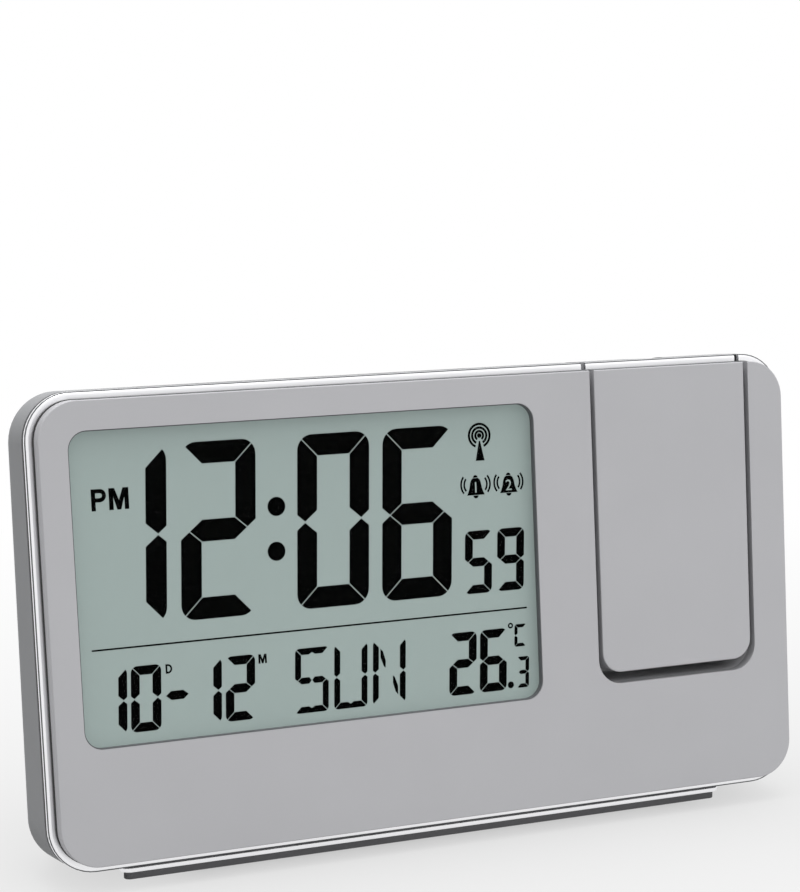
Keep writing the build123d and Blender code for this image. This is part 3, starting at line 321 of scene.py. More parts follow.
def finishes():
    """One finish for each material slot of the clock, and those that scene pieces take."""
    c = bpy.context.scene.clock_colours
    return {
        # silver lacquer on moulded ABS: a soft even sheen with a very fine flake
        "face_silver": finish("silver_lacquered_abs", c.silver, 0.46, 0.25, grain=0.5, relief=0.003,
                              mottle=0.02),
        # satin electroplating on ABS: mirrors its surroundings softly
        "plated_trim": finish("satin_plated_abs", c.plating, 0.3, 1.0, grain=3, mottle=0.01),
        # moulded rubber gasket: dull and dark; the same finish paints the dark shade line around the panel
        "dark_seam": finish("moulded_rubber_gasket", c.seam, 0.7, grain=0.6, relief=0.01),
        # grey lacquer on spark-eroded ABS: fine pebbled surface, grain drawn coarser than the real 0.1 mm
        "shell_grey": finish("pebbled_grey_abs", c.shell, 0.6, grain=0.35, relief=0.01, mottle=0.03,
                             shine=0.15),
        # coated acrylic: nearly invisible from the front
        "clear_window": clear("coated_acrylic_window", "1C211F", 0.02),
        # reflective liquid crystal glass: green-grey ground, with a glow of painted light that evens out the
        # shade at its edges
        "display_glass": lit_ground("liquid_crystal_glass", c.display),
        # milky cast acrylic that spreads the backlight: smooth, even white
        "guide_acrylic": finish("milky_cast_acrylic", "E9ECEA", 0.25, grain=1, mottle=0.01),
        # moulded white polycarbonate: clean white with a faint shine
        "frame_white": finish("moulded_white_polycarbonate", "DCDCD8", 0.45, grain=0.5, relief=0.004),
        # silicone with carbon layers, the layers drawn coarser than the real 0.1 mm
        "strip_rubber": striped(finish("layered_silicone_strip", "C9C2B6", 0.6), "26241F", 0.5),
        # glass-fibre board under green solder mask, with its copper runs showing through
        "board_green": speckled(striped(finish("green_masked_board", "1E5A32", 0.35), "2A6D40", 1.9, 0.05),
                                "C9B27A", 3.1, 0.14),
        # transfer-moulded epoxy: matt black with a little tooth
        "chip_black": finish("moulded_black_epoxy", "17181A", 0.55, grain=0.25, relief=0.006),
        # dipped epoxy bead: glossy amber brown
        "sensor_amber": finish("dipped_amber_resin", "5A3413", 0.2, grain=1.2, mottle=0.12),
        # drawn nickel silver can: smooth bright metal
        "can_steel": finish("drawn_nickel_can", "C2C3C6", 0.22, 1.0, grain=1.5),
        # pressed and ground ferrite: dark grey and slightly shiny
        "ferrite": speckled(finish("ground_ferrite", "303134", 0.4, 0.3, grain=0.3, relief=0.008),
                            "404247", 0.6, 0.2),
        # enamelled copper wire wound turn by turn: glossy brown ribs
        "copper_winding": striped(finish("enamelled_copper_winding", "B0642F", 0.3, 0.9),
                                  "5A2C12", 0.45, 0.4, relief=0.12),
        # moulded black ABS: dark, with a soft shine
        "tray_black": finish("moulded_black_abs", "1D1D1F", 0.5, grain=0.4, relief=0.008),
        # printed shrink sleeve over the steel can of the cell: smooth, in two plain colours
        "cell_case": striped(finish("shrink_sleeved_cell", "3B4149", 0.28, 0.4, grain=1.0),
                             "A87A3A", 90, 0.01),
        # nickel-plated spring steel: bright and slightly warm
        "contact_steel": finish("nickel_plated_spring_steel", "CFCFCB", 0.25, 1.0, grain=1.0),
        # zinc-plated steel, bright with a cool tint
        "screw_steel": finish("zinc_plated_steel", "B9BCC2", 0.3, 1.0, grain=0.8, mottle=0.06),
        # natural moulded nylon: waxy off-white
        "washer_nylon": finish("natural_nylon", "DAD6C8", 0.4, grain=0.8),
        # die-cut rubber foam pad: dull, with a coarse open grain
        "pad_rubber": finish("die_cut_rubber", c.pad, 0.8, grain=0.5, relief=0.03, mottle=0.1),
        # moulded keys, a little polished by use
        "key_grey": finish("moulded_grey_keys", c.keys, 0.42, grain=0.4, relief=0.004),
        # moulded black polycarbonate that swallows stray light
        "optic_black": finish("matt_black_polycarbonate", "111113", 0.6, grain=0.4, relief=0.006),
        # polished optical acrylic: clear, with a sharp glint
        "lens_clear": clear("polished_optical_acrylic", "EDF2F4", 0.35, 0.02),
        # tinted clear epoxy of a red lamp: deep glossy red
        "lamp_red": finish("red_clear_epoxy", "C8201C", 0.12, grain=2),
        # lit segments inside the glass: almost black, without shine
        "ink": finish("liquid_crystal_segment", c.ink, 0.6, grain=1, mottle=0.02, shine=0.0),
        # dark grey and dull band of painted shade on the wall of the window's recess
        "window_edge": finish("window_wall_painted_shade", "5E6062", 0.5, grain=0.8, mottle=0.03, shine=0.2),
        # thin dull dark grey lines of painted shade around the frame and along the top of panel and arm
        "painted_shade_grey": finish("painted_shade_lines", "5E6062", 0.55, grain=0.8, mottle=0.03, shine=0.2),
        # the display's ground again, with the same glow of painted light, for figures that stand out of a
        # dark sign
        "ground": lit_ground("liquid_crystal_ground", c.display),
        # pale grey inside the arm's pocket, paler than the silver face: painted light that brightens the
        # shaded pocket; grey like the shell where it ends behind it
        "cradle_grey": parted(finish("pale_pocket_painted_light", "D6D6D8", 0.4, grain=0.6, mottle=0.02),
                              c.shell, CRADLE_BACK),
    }


# ---------------------------------------------------------------- modelling

CAPITAL_SHARE = 0.729       # height of a capital in the plain font, per size
MERGE = 1e-7                # corners closer than this are one, metres
TEXT_MERGE = 1e-6           # the same for letters of a font
ON_CUT = 1e-8               # corners closer to a cut than this lie on it, metres
ROOM = 2.2                  # side of the plate that a shape is cut from, per distance of its farthest corner
FONT_STEPS = 4              # straight pieces in each curve of a letter


def clear_selection():
    if bpy.context.object and bpy.context.object.mode != "OBJECT":
        end_edit()
    bpy.ops.object.select_all(action="DESELECT")


def only(obj):
    clear_selection()
    obj.select_set(True)
    bpy.context.view_layer.objects.active = obj


def edit_all():
    """Goes into edit mode with everything selected."""
    bpy.ops.object.mode_set(mode="EDIT")
    bpy.ops.mesh.select_all(action="SELECT")


def edit_some(obj, test):
    """Goes into edit mode with the corners selected whose place passes a test."""
    bpy.ops.object.mode_set(mode="EDIT")
    bpy.ops.mesh.select_all(action="DESELECT")
    end_edit()
    for vertex in obj.data.vertices:
        vertex.select = test(vertex.co)
    bpy.ops.object.mode_set(mode="EDIT")


def end_edit():
    bpy.ops.object.mode_set(mode="OBJECT")


def rectangle(width, height, x=0.0, y=0.0):
    """Adds a flat rectangle around a place."""
    clear_selection()
    bpy.ops.mesh.primitive_plane_add(size=1)
    piece = bpy.context.object
    piece.scale = (width, height, 1)
    piece.location = (x, y, 0)
    bpy.ops.object.transform_apply(location=True, rotation=True, scale=True)
    return piece


def plate(width, height, corner=0.0, rounds=8):
    """Adds a flat plate around the origin, with rounded corners."""
    piece = rectangle(width, height)
    if corner:
        edit_all()
        bpy.ops.mesh.bevel(offset=corner, segments=rounds, affect="VERTICES")
        end_edit()
    return piece


def trim(piece, cuts):
    """Cuts a flat piece along lines; each is a point on the line and the direction that is cut off."""
    only(piece)
    for point, away in cuts:
        edit_all()
        bpy.ops.mesh.bisect(plane_co=(*point, 0), plane_no=(*Vector(away).normalized(), 0),
                            clear_outer=True, threshold=ON_CUT)
    end_edit()
    return piece


def copy_of(piece, flip_x=False, flip_y=False, shift=(0, 0)):
    """Copies a flat piece with its own mesh, mirrored and moved."""
    other = piece.copy()
    other.data = piece.data.copy()
    bpy.context.collection.objects.link(other)
    flip = Matrix.Diagonal((-1 if flip_x else 1, -1 if flip_y else 1, 1, 1))
    other.data.transform(Matrix.Translation((*shift, 0)) @ flip)
    return other


def joined(pieces, name):
    clear_selection()
    for piece in pieces:
        piece.select_set(True)
    bpy.context.view_layer.objects.active = pieces[0]
    if len(pieces) > 1:
        bpy.ops.object.join()
    pieces[0].name = name
    pieces[0].data.name = name
    return pieces[0]


def drop(pieces):
    clear_selection()
    for piece in pieces:
        piece.select_set(True)
    bpy.ops.object.delete()


def settle(piece, finish_name, thickness, depth=GLASS_DEPTH, body="case", slot=None):
    """Gives a flat piece its thickness and lays it on the glass, or at another depth, facing front."""
    only(piece)
    edit_all()
    bpy.ops.mesh.normals_make_consistent(inside=False)
    bpy.ops.mesh.extrude_region_move(TRANSFORM_OT_translate={"value": (0, 0, thickness)})
    bpy.ops.mesh.select_all(action="SELECT")
    bpy.ops.mesh.remove_doubles(threshold=MERGE)
    bpy.ops.mesh.normals_make_consistent(inside=False)
    end_edit()
    piece.data.transform(CASE @ Matrix.Translation((0, 0, -depth)))
    piece.data.materials.clear()
    piece.data.materials.append(FINISHES[finish_name])
    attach(piece, body)
    return piece


def lettering(text, height):
    """Adds flat letters around the origin, their capitals as high as height."""
    clear_selection()
    bpy.ops.object.text_add()
    letters = bpy.context.object
    letters.data.body = text
    letters.data.align_x = "CENTER"
    letters.data.align_y = "CENTER"
    letters.data.size = height / CAPITAL_SHARE
    letters.data.resolution_u = FONT_STEPS
    bpy.ops.object.convert(target="MESH")
    letters = bpy.context.object
    edit_all()
    bpy.ops.mesh.remove_doubles(threshold=TEXT_MERGE)
    end_edit()
    xs = [v.co.x for v in letters.data.vertices]
    ys = [v.co.y for v in letters.data.vertices]
    letters.data.transform(Matrix.Translation((-(min(xs) + max(xs)) / 2, -(min(ys) + max(ys)) / 2, 0)))
    return letters


def shape(points):
    """Cuts a flat convex piece out of a plate, one cut along each side; its corners in millimetres."""
    corners = [Vector(point) * MM for point in points]
    middle = sum(corners, Vector((0, 0))) / len(corners)
    side = ROOM * max((corner - middle).length for corner in corners)
    cuts = []
    for start, end in zip(corners, corners[1:] + corners[:1]):
        away = Vector((end.y - start.y, start.x - end.x))
        cuts.append((start, away if away.dot(start - middle) > 0 else -away))
    return trim(moved(plate(side, side), *middle), cuts)


def arc(radius, width, middle, sweep, steps):
    """Adds a flat arc around the origin: half of it is spun from its middle and then mirrored."""
    piece = rectangle(width * MM, width * MM, radius * MM, width * MM / 2)
    edit_some(piece, lambda co: co.y > width * MM / 2)
    bpy.ops.mesh.delete(type="VERT")
    bpy.ops.mesh.select_all(action="SELECT")
    bpy.ops.mesh.spin(steps=steps, angle=sweep / 2, center=(0, 0, 0), axis=(0, 0, 1))
    end_edit()
    piece = joined([piece, copy_of(piece, flip_y=True)], "arc")
    edit_all()
    bpy.ops.mesh.remove_doubles(threshold=MERGE)
    end_edit()
    piece.data.transform(Matrix.Rotation(middle, 4, "Z"))
    return piece


def disc(radius, sides=24):
    clear_selection()
    bpy.ops.mesh.primitive_circle_add(radius=radius, vertices=sides, fill_type="NGON")
    return bpy.context.object


def moved(piece, x, y):
    piece.data.transform(Matrix.Translation((x, y, 0)))
    return piece


# ---------------------------------------------------------------- segments of the digits

# Bars of each sign: a on top, then clockwise b to f, g in the middle. Letters have the middle bar in two
# parts, g and h, and two slanted bars, m and n.
LIT = {"0": "abcdef", "1": "bc", "2": "abged", "3": "abgcd", "4": "fgbc", "5": "afgcd", "6": "afgedc",
       "7": "abc", "8": "abcdefg", "9": "abcdfg", "C": "afed"}
LETTERS = {"S": "afghcd", "U": "fedcb", "N": "febcmn"}
CORNER = 0.72         # outer radius of a digit, in strokes
TIP = 0.4             # the middle bar ends this far inside the digit, in strokes
NOTCH = 0.32          # half the height of the notch in a letter's top and bottom bar, in strokes
NOTCH_SPREAD = 1.6    # its half width, in its half heights
POINTED = 0.8         # slope of the points at which the two middle bars of a letter meet
SLANTED_BAR = ((-0.85, 0.93), (-0.61, 0.81), (-0.34, 0.44), (-0.36, 0.17), (-0.5, 0.22), (-0.83, 0.58))


def bars(width, height, stroke, gap):
    """Models the seven bars of a digit around the origin: three of them by cutting a rounded plate,
    the others as their mirror images."""
    hw, hh = width / 2, height / 2
    half_gap = gap / 2
    tip = TIP * stroke
    slope = Vector((stroke - tip, stroke / 2)).normalized()
    across = Vector((slope.y, -slope.x))
    tip_point = Vector((-hw + tip, 0))
    corner_in = Vector((-hw, hh)) + Vector((1, 1)).normalized() * half_gap
    corner_out = Vector((-hw, hh)) - Vector((1, 1)).normalized() * half_gap

    def mirrored(point):
        return (-point[0], point[1])

    top = trim(plate(width, height, CORNER * stroke),
               [((0, hh - stroke), (0, -1)), (corner_in, (-1, -1)), (mirrored(corner_in), (1, -1))])
    side = trim(plate(width, height, CORNER * stroke),
                [((-hw + stroke, 0), (1, 0)), (corner_out, (1, 1)),
                 (tip_point - across * half_gap, across),
                 (tip_point - Vector((-across.x, across.y)) * half_gap, (-across.x, across.y))])
    middle_cuts = [((0, stroke / 2), (0, 1)), ((0, -stroke / 2), (0, -1))]
    for flip in (1, -1):
        for up in (1, -1):
            away = Vector((-across.x * flip, -across.y * up))
            middle_cuts.append((Vector((tip_point.x * flip, 0)) - away * half_gap, away))
    middle = trim(plate(width, height), middle_cuts)
    return {"a": top, "f": side, "g": middle,
            "d": copy_of(top, flip_y=True), "b": copy_of(side, flip_x=True),
            "e": copy_of(side, flip_y=True), "c": copy_of(side, True, True)}


def letter_bars(width, height, stroke, gap):
    """The bars of a letter: notched top and bottom bars, a divided middle bar and two slanted ones."""
    parts = bars(width, height, stroke, gap)
    hw, hh = width / 2, height / 2
    notch = NOTCH * stroke
    halves = []
    for side in (-1, 1):
        cuts = [((0, 0), (-side, 0)),
                ((side * notch * NOTCH_SPREAD, hh - stroke), (-side * notch, -notch * NOTCH_SPREAD))]
        halves.append(trim(copy_of(parts["a"]), cuts))
    drop([parts["a"], parts["d"]])
    parts["a"] = joined(halves, "bar")
    parts["d"] = copy_of(parts["a"], flip_y=True)
    trim(parts["g"], [((-gap / 2, 0), (1, POINTED)), ((-gap / 2, 0), (1, -POINTED))])
    parts["h"] = copy_of(parts["g"], flip_x=True)
    inner, high = (hw - stroke) / MM, (hh - stroke) / MM
    parts["m"] = shape([(x * inner, y * high) for x, y in SLANTED_BAR])
    parts["n"] = copy_of(parts["m"], True, True)
    return parts


def bold_letter(sign):
    """A bold capital around the origin, 3.56 mm high, joined from cut plates."""
    if sign == "P":
        pieces = [shape([(-1.28, -1.78), (-0.56, -1.78), (-0.56, 1.78), (-1.28, 1.78)]),
                  shape([(-0.56, 1.1), (0.2, 1.1), (0.2, 1.78), (-0.56, 1.78)]),
                  shape([(-0.56, -0.38), (0.2, -0.38), (0.2, 0.3), (-0.56, 0.3)]),
                  moved(arc(0.74, 0.68, 0, pi, 8), 0.2 * MM, 0.7 * MM)]
    elif sign == "M":
        stem = shape([(-1.7, -1.78), (-0.95, -1.78), (-0.95, 1.78), (-1.7, 1.78)])
        bar = shape([(-0.95, 1.78), (-0.72, 1.78), (0, -0.2), (0, -1.78), (-0.33, -1.78), (-0.95, 0.3)])
        pieces = [stem, bar, copy_of(stem, flip_x=True), copy_of(bar, flip_x=True)]
    elif sign == "D":
        bar = shape([(-0.6, 1.1), (-0.45, 1.1), (-0.45, 1.78), (-0.6, 1.78)])
        pieces = [shape([(-1.3, -1.78), (-0.6, -1.78), (-0.6, 1.78), (-1.3, 1.78)]), bar,
                  copy_of(bar, flip_y=True), moved(arc(1.44, 0.68, 0, pi, 10), -0.45 * MM, 0)]
    else:
        leg = shape([(-1.6, -1.78), (-0.8, -1.78), (0, 1), (0, 1.78), (-0.4, 1.78)])
        pieces = [leg, copy_of(leg, flip_x=True),
                  shape([(-0.59, -1.05), (0.59, -1.05), (0.417, -0.45), (-0.417, -0.45)])]
    return joined(pieces, "letter")


# Each field: the middles of its signs across, and their middle height, in mm.
FIELD_PLACES = {
    "hour_digits": ((-55.19, -39.42), 53.56),
    "minute_digits": ((-18.63, -2.88), 53.56),
    "second_digits": ((8.47, 14.76), 44.2),
    "day_digits": ((-59.6, -53.67), 26.7),
    "month_digits": ((-42.96, -36.98), 26.7),
    "degree_digits": ((4.68, 10.63), 26.7),
    "tenth_digit": ((16.39,), 24.07),
    "unit_letter": ((16.12,), 30.63),
    "weekday_letters": ((-23.96, -16.72, -9.48), 26.72),
}
ROW_GAP, SMALL_GAP, UNIT_GAP = 0.7, 0.45, 0.4      # gaps between bars, as parts of the large digits' gap
UNIT_SIZE = (0.97, 0.72, 0.86)                     # width, height and stroke of the C, in tenths digits
LETTER_RISE = 1.01                                 # height of a weekday letter, in digits of its row


def write(name, parts, signs, text):
    """Writes a field from the bars of its signs, slants it and lays it on the glass."""
    s = bpy.context.scene.clock_sizes
    columns, level = FIELD_PLACES[name]
    pieces = []
    for sign, x in zip(text, columns):
        pieces += [copy_of(parts[bar], shift=(x * MM, 0)) for bar in signs[sign]]
    field = joined(pieces, name)
    lean = Matrix.Identity(4)
    lean[0][1] = tan(s.slant)
    field.data.transform(Matrix.Translation((0, level * MM, 0)) @ lean)
    settle(field, "ink", s.ink_depth)


# ---------------------------------------------------------------- operators

FINISHES = {}
OWN_FINISH = {"arm_cradle": "cradle_grey"}     # pieces that don't take the finish of their slot


class CLOCK_OT_finishes(bpy.types.Operator):
    """Gives every piece of the clock the finish of its material slot"""
    bl_idname = "clock.finishes"
    bl_label = "Finishes"

    def execute(self, context):
        FINISHES.update(finishes())
        for part in frame["record"]["subparts"]:
            for slot in frame["nodes"][part["node"]].material_slots:
                slot.material = FINISHES[OWN_FINISH.get(part["node"], part["material_slot"])]
        return {"FINISHED"}


class CLOCK_OT_edges(bpy.types.Operator):
    """Lays thin dark bands of painted shade around window, panel and frame, and along the top of panel and
    arm
    """
    bl_idname = "clock.edges"
    bl_label = "Dark edges"

    RIGHT_SIDE = 1.4        # corners this near the right side belong to it, in widths of the frame's shade line
    REACHED = 0.01          # corners this near an end are inside it, mm

    def execute(self, context):
        s = context.scene.clock_sizes
        # the window's border: a dark band of painted shade on the wall of its recess
        border = self.band(s.window_width, s.window_height, WINDOW_CORNER, s.edge_width)
        border = joined([moved(border, *WINDOW_MIDDLE)], "window_border")
        settle(border, "window_edge", slot="dark_seam", **WINDOW_BORDER)
        # the panel's lip: a thin dark line of painted shade in the joint around the panel
        lip = moved(self.band(s.lip_width, s.lip_height, PANEL_SHADE_CORNER, THIN_SHADE_LINE), *PANEL_MIDDLE)
        self.open_top(lip, POCKET[0] - SHADE_SIDE_GAP, POCKET[1] + SHADE_SIDE_GAP)
        settle(joined([lip], "panel_edge_shade"), "dark_seam", slot="dark_seam", **PANEL_EDGE_SHADE)
        # the frame's rim: a thin dark line of painted shade along the plating's outer edge
        rim = moved(self.band(s.rim_width, s.rim_height, FRAME_SHADE_CORNER, s.rim_line), *PANEL_MIDDLE)
        self.open_top(rim, *POCKET)
        # no straight part on the right, where the frame doesn't show
        edit_some(rim, lambda co: co.x > s.rim_width / 2 - self.RIGHT_SIDE * s.rim_line)
        bpy.ops.mesh.delete(type="FACE")
        end_edit()
        settle(joined([rim], "frame_edge_shade"), "painted_shade_grey", slot="plated_trim", **FRAME_EDGE_SHADE)
        frame_shade_top = PANEL_MIDDLE[1] + (s.rim_height - s.rim_line) / 2
        # the frame's shade line on the arm, and thin dark lines of painted shade along the top of panel and
        # arm, over the edge's highlight
        for name, ends, wide, height, place, body, slot in (
                ("arm_frame_edge_shade", ARM, s.rim_line, frame_shade_top, FRAME_EDGE_SHADE, "projector_arm", "plated_trim"),
                ("panel_top_shade", PANEL_TOP, THIN_SHADE_LINE, TOP_SHADE_HEIGHT, PANEL_SHADE_LINE, "case",
                 "face_silver"),
                ("arm_top_shade", ARM, THIN_SHADE_LINE, TOP_SHADE_HEIGHT, ARM_SHADE_LINE, "projector_arm",
                 "face_silver")):
            bar = moved(plate((ends[1] - ends[0]) * MM, wide), (ends[0] + ends[1]) / 2 * MM, height)
            settle(joined([bar], name), "painted_shade_grey", body=body, slot=slot, **place)
        return {"FINISHED"}

    def band(self, width, height, corner, wide):
        """A flat closed band, as wide as given, inside a rounded outline."""
        piece = plate(width, height, corner, rounds=10)
        edit_all()
        bpy.ops.mesh.inset(thickness=wide)
        bpy.ops.mesh.delete(type="FACE")
        end_edit()
        return piece

    def open_top(self, band, left, right):
        """Takes the upper side of a band away between two places in millimetres."""
        only(band)
        for x in (left, right):
            edit_all()
            bpy.ops.mesh.bisect(plane_co=(x * MM, 0, 0), plane_no=(1, 0, 0), threshold=ON_CUT)
        edit_some(band, lambda co: left - self.REACHED < co.x / MM < right + self.REACHED
                  and co.y > PANEL_MIDDLE[1])
        bpy.ops.mesh.delete(type="FACE")
        end_edit()


class CLOCK_OT_digits(bpy.types.Operator):
    """Writes the time, the seconds, the date and the temperature in seven-bar digits"""
    bl_idname = "clock.digits"
    bl_label = "Digits"

    def execute(self, context):
        s, shown = context.scene.clock_sizes, context.scene.clock_readout
        big = bars(s.time_width, s.time_height, s.time_stroke, s.gap)
        row = bars(s.row_width, s.row_height, s.row_stroke, s.gap * ROW_GAP)
        small = bars(s.small_width, s.small_height, s.small_stroke, s.gap * SMALL_GAP)
        unit = bars(s.small_width * UNIT_SIZE[0], s.small_height * UNIT_SIZE[1],
                    s.small_stroke * UNIT_SIZE[2], s.gap * UNIT_GAP)
        write("hour_digits", big, LIT, shown.time[:2])
        write("minute_digits", big, LIT, shown.time[3:])
        write("second_digits", row, LIT, shown.seconds)
        write("day_digits", row, LIT, shown.date[:2])
        write("month_digits", row, LIT, shown.date[3:])
        write("degree_digits", row, LIT, shown.warmth[:2])
        write("tenth_digit", small, LIT, shown.warmth[3:])
        write("unit_letter", unit, LIT, "C")
        for parts in (big, row, small, unit):
            drop(list(parts.values()))
        return {"FINISHED"}


class CLOCK_OT_weekday(bpy.types.Operator):
    """Writes the weekday in letters of the same kind"""
    bl_idname = "clock.weekday"
    bl_label = "Weekday"

    def execute(self, context):
        s = context.scene.clock_sizes
        parts = letter_bars(s.letter_width, s.row_height * LETTER_RISE, s.letter_stroke, s.gap * ROW_GAP)
        write("weekday_letters", parts, LETTERS, context.scene.clock_readout.weekday)
        drop(list(parts.values()))
        return {"FINISHED"}


class CLOCK_OT_marks(bpy.types.Operator):
    """Lays the dots, the dividing line, the dash and the small letters on the glass"""
    bl_idname = "clock.marks"
    bl_label = "Marks"

    # places across and up, and sizes, in mm
    COLON, COLON_RADIUS = ((-28.89, 56.61), (-29.26, 49.09)), 1.6
    POINT, POINT_RADIUS = (13.88, 22.0), 0.6
    DIVIDER, DIVIDER_WIDTH, DIVIDER_HEIGHT, DIVIDER_CORNER = (-22.45, 35.4), 80.2, 0.28, 0.13
    DASH, DASH_WIDTH, DASH_HEIGHT, DASH_POINT = (-48.2, 26.7), 4.0, 1.5, 1.25
    DEGREE, DEGREE_RADIUS, DEGREE_STROKE = (14.25, 32.48), 0.37, 0.27
    HALF_COLUMNS, HALF_LEVEL = (-59.88, -56.44), 59.9
    DATE_MARKS = (("day_mark", "D", (-49.45, 31.2)), ("month_mark", "M", (-32.75, 31.25)))
    DATE_MARK_SHARE = 0.44      # size of these marks, in bold letters

    def execute(self, context):
        half = context.scene.clock_readout.half
        self.lay("colon_dots", [self.at(disc(self.COLON_RADIUS * MM, 40), place) for place in self.COLON])
        self.lay("decimal_dot", [self.at(disc(self.POINT_RADIUS * MM), self.POINT)])
        line = plate(self.DIVIDER_WIDTH * MM, self.DIVIDER_HEIGHT * MM, self.DIVIDER_CORNER * MM, rounds=4)
        self.lay("divider_line", [self.at(line, self.DIVIDER)])
        dash = trim(plate(self.DASH_WIDTH * MM, self.DASH_HEIGHT * MM),
                    [((side * self.DASH_WIDTH / 2 * MM, 0), (side, up * self.DASH_POINT))
                     for side in (-1, 1) for up in (-1, 1)])
        self.lay("date_dash", [self.at(dash, self.DASH)])
        ring = arc(self.DEGREE_RADIUS, self.DEGREE_STROKE, 0, 2 * pi, 12)
        self.lay("degree_ring", [self.at(ring, self.DEGREE)])
        self.lay("half_mark", [self.at(bold_letter(sign), (x, self.HALF_LEVEL))
                               for sign, x in zip(half, self.HALF_COLUMNS)])
        for name, sign, place in self.DATE_MARKS:
            mark = bold_letter(sign)
            mark.data.transform(Matrix.Diagonal((self.DATE_MARK_SHARE, self.DATE_MARK_SHARE, 1, 1)))
            self.lay(name, [self.at(mark, place)])
        return {"FINISHED"}

    def at(self, piece, place):
        return moved(piece, place[0] * MM, place[1] * MM)

    def lay(self, name, pieces):
        settle(joined(pieces, name), "ink", bpy.context.scene.clock_sizes.ink_depth)


class CLOCK_OT_signs(bpy.types.Operator):
    """Lays the radio tower and the two ringing bells on the glass"""
    bl_idname = "clock.signs"
    bl_label = "Signs"

    # places across and up, and sizes, in mm; angles in degrees
    TOWER = (9.58, 66.13)
    RINGS, RING_STROKE = ((2.0, 23), (1.37, 27), (0.75, 33)), 0.41      # radius, half opening at the foot
    TOWER_DOT = 0.42
    MAST = ((-0.1, -0.92), (0.1, -0.92), (0.85, -4.35), (-0.85, -4.35))
    BELLS, BELL_LEVEL = ((1, 8.5), (2, 14.93)), 57.35
    WAVES, WAVE_STROKE, WAVE_SWEEP, WAVE_SHIFT = (1.72, 2.32), 0.32, 76, (0.48, 0.35)
    FIGURE_HEIGHT, FIGURE_LEVEL = 1.95, 57.2
    # half width and height of a bell from its rim upwards
    OUTLINE = ((1.72, -1.48), (1.45, -0.98), (1.2, -0.27), (1.04, 0.62), (0.82, 1.16), (0.5, 1.46))
    KNOB, CLAPPER = (0.44, 1.54), (0.5, -1.56)                          # radius, height

    def execute(self, context):
        ink_depth = context.scene.clock_sizes.ink_depth
        rings = [arc(radius, self.RING_STROKE, pi / 2, radians(360 - 2 * opening), 18)
                 for radius, opening in self.RINGS]
        tower = joined(rings + [disc(self.TOWER_DOT * MM, 16), shape(self.MAST)], "radio_tower")
        settle(moved(tower, self.TOWER[0] * MM, self.TOWER[1] * MM), "ink", ink_depth)
        for number, x in self.BELLS:
            waves = []
            for radius in self.WAVES:
                wave = moved(arc(radius, self.WAVE_STROKE, 0, radians(self.WAVE_SWEEP), 6),
                             self.WAVE_SHIFT[0] * MM, self.WAVE_SHIFT[1] * MM)
                waves += [wave, copy_of(wave, flip_x=True)]
            piece = joined([self.bell()] + waves, "alarm_bell_%d" % number)
            settle(moved(piece, x * MM, self.BELL_LEVEL * MM), "ink", ink_depth)
            figure = moved(lettering(str(number), self.FIGURE_HEIGHT * MM), x * MM, self.FIGURE_LEVEL * MM)
            # half its thickness stands out of the bell
            settle(joined([figure], "bell_figure_%d" % number), "ground", ink_depth,
                   depth=GLASS_DEPTH - ink_depth / 2)
        return {"FINISHED"}

    def bell(self):
        """A bell drawn from its rim upwards, with a knob on top and a clapper below."""
        (rim_half, rim), (first_half, first) = self.OUTLINE[:2]
        middle = (rim + first) / 2 * MM
        piece = rectangle(2 * rim_half * MM, (first - rim) * MM, y=middle)
        edit_some(piece, lambda co: co.y > middle)
        bpy.ops.transform.resize(value=(first_half / rim_half, 1, 1))
        for (low_half, low), (half, level) in zip(self.OUTLINE[1:], self.OUTLINE[2:]):
            bpy.ops.mesh.extrude_region_move(TRANSFORM_OT_translate={"value": (0, (level - low) * MM, 0)})
            bpy.ops.transform.resize(value=(half / low_half, 1, 1))
        end_edit()
        knob = moved(trim(disc(self.KNOB[0] * MM, 20), [((0, 0), (0, -1))]), 0, self.KNOB[1] * MM)
        clapper = moved(trim(disc(self.CLAPPER[0] * MM, 20), [((0, 0), (0, 1))]), 0, self.CLAPPER[1] * MM)
        return joined([piece, knob, clapper], "bell")


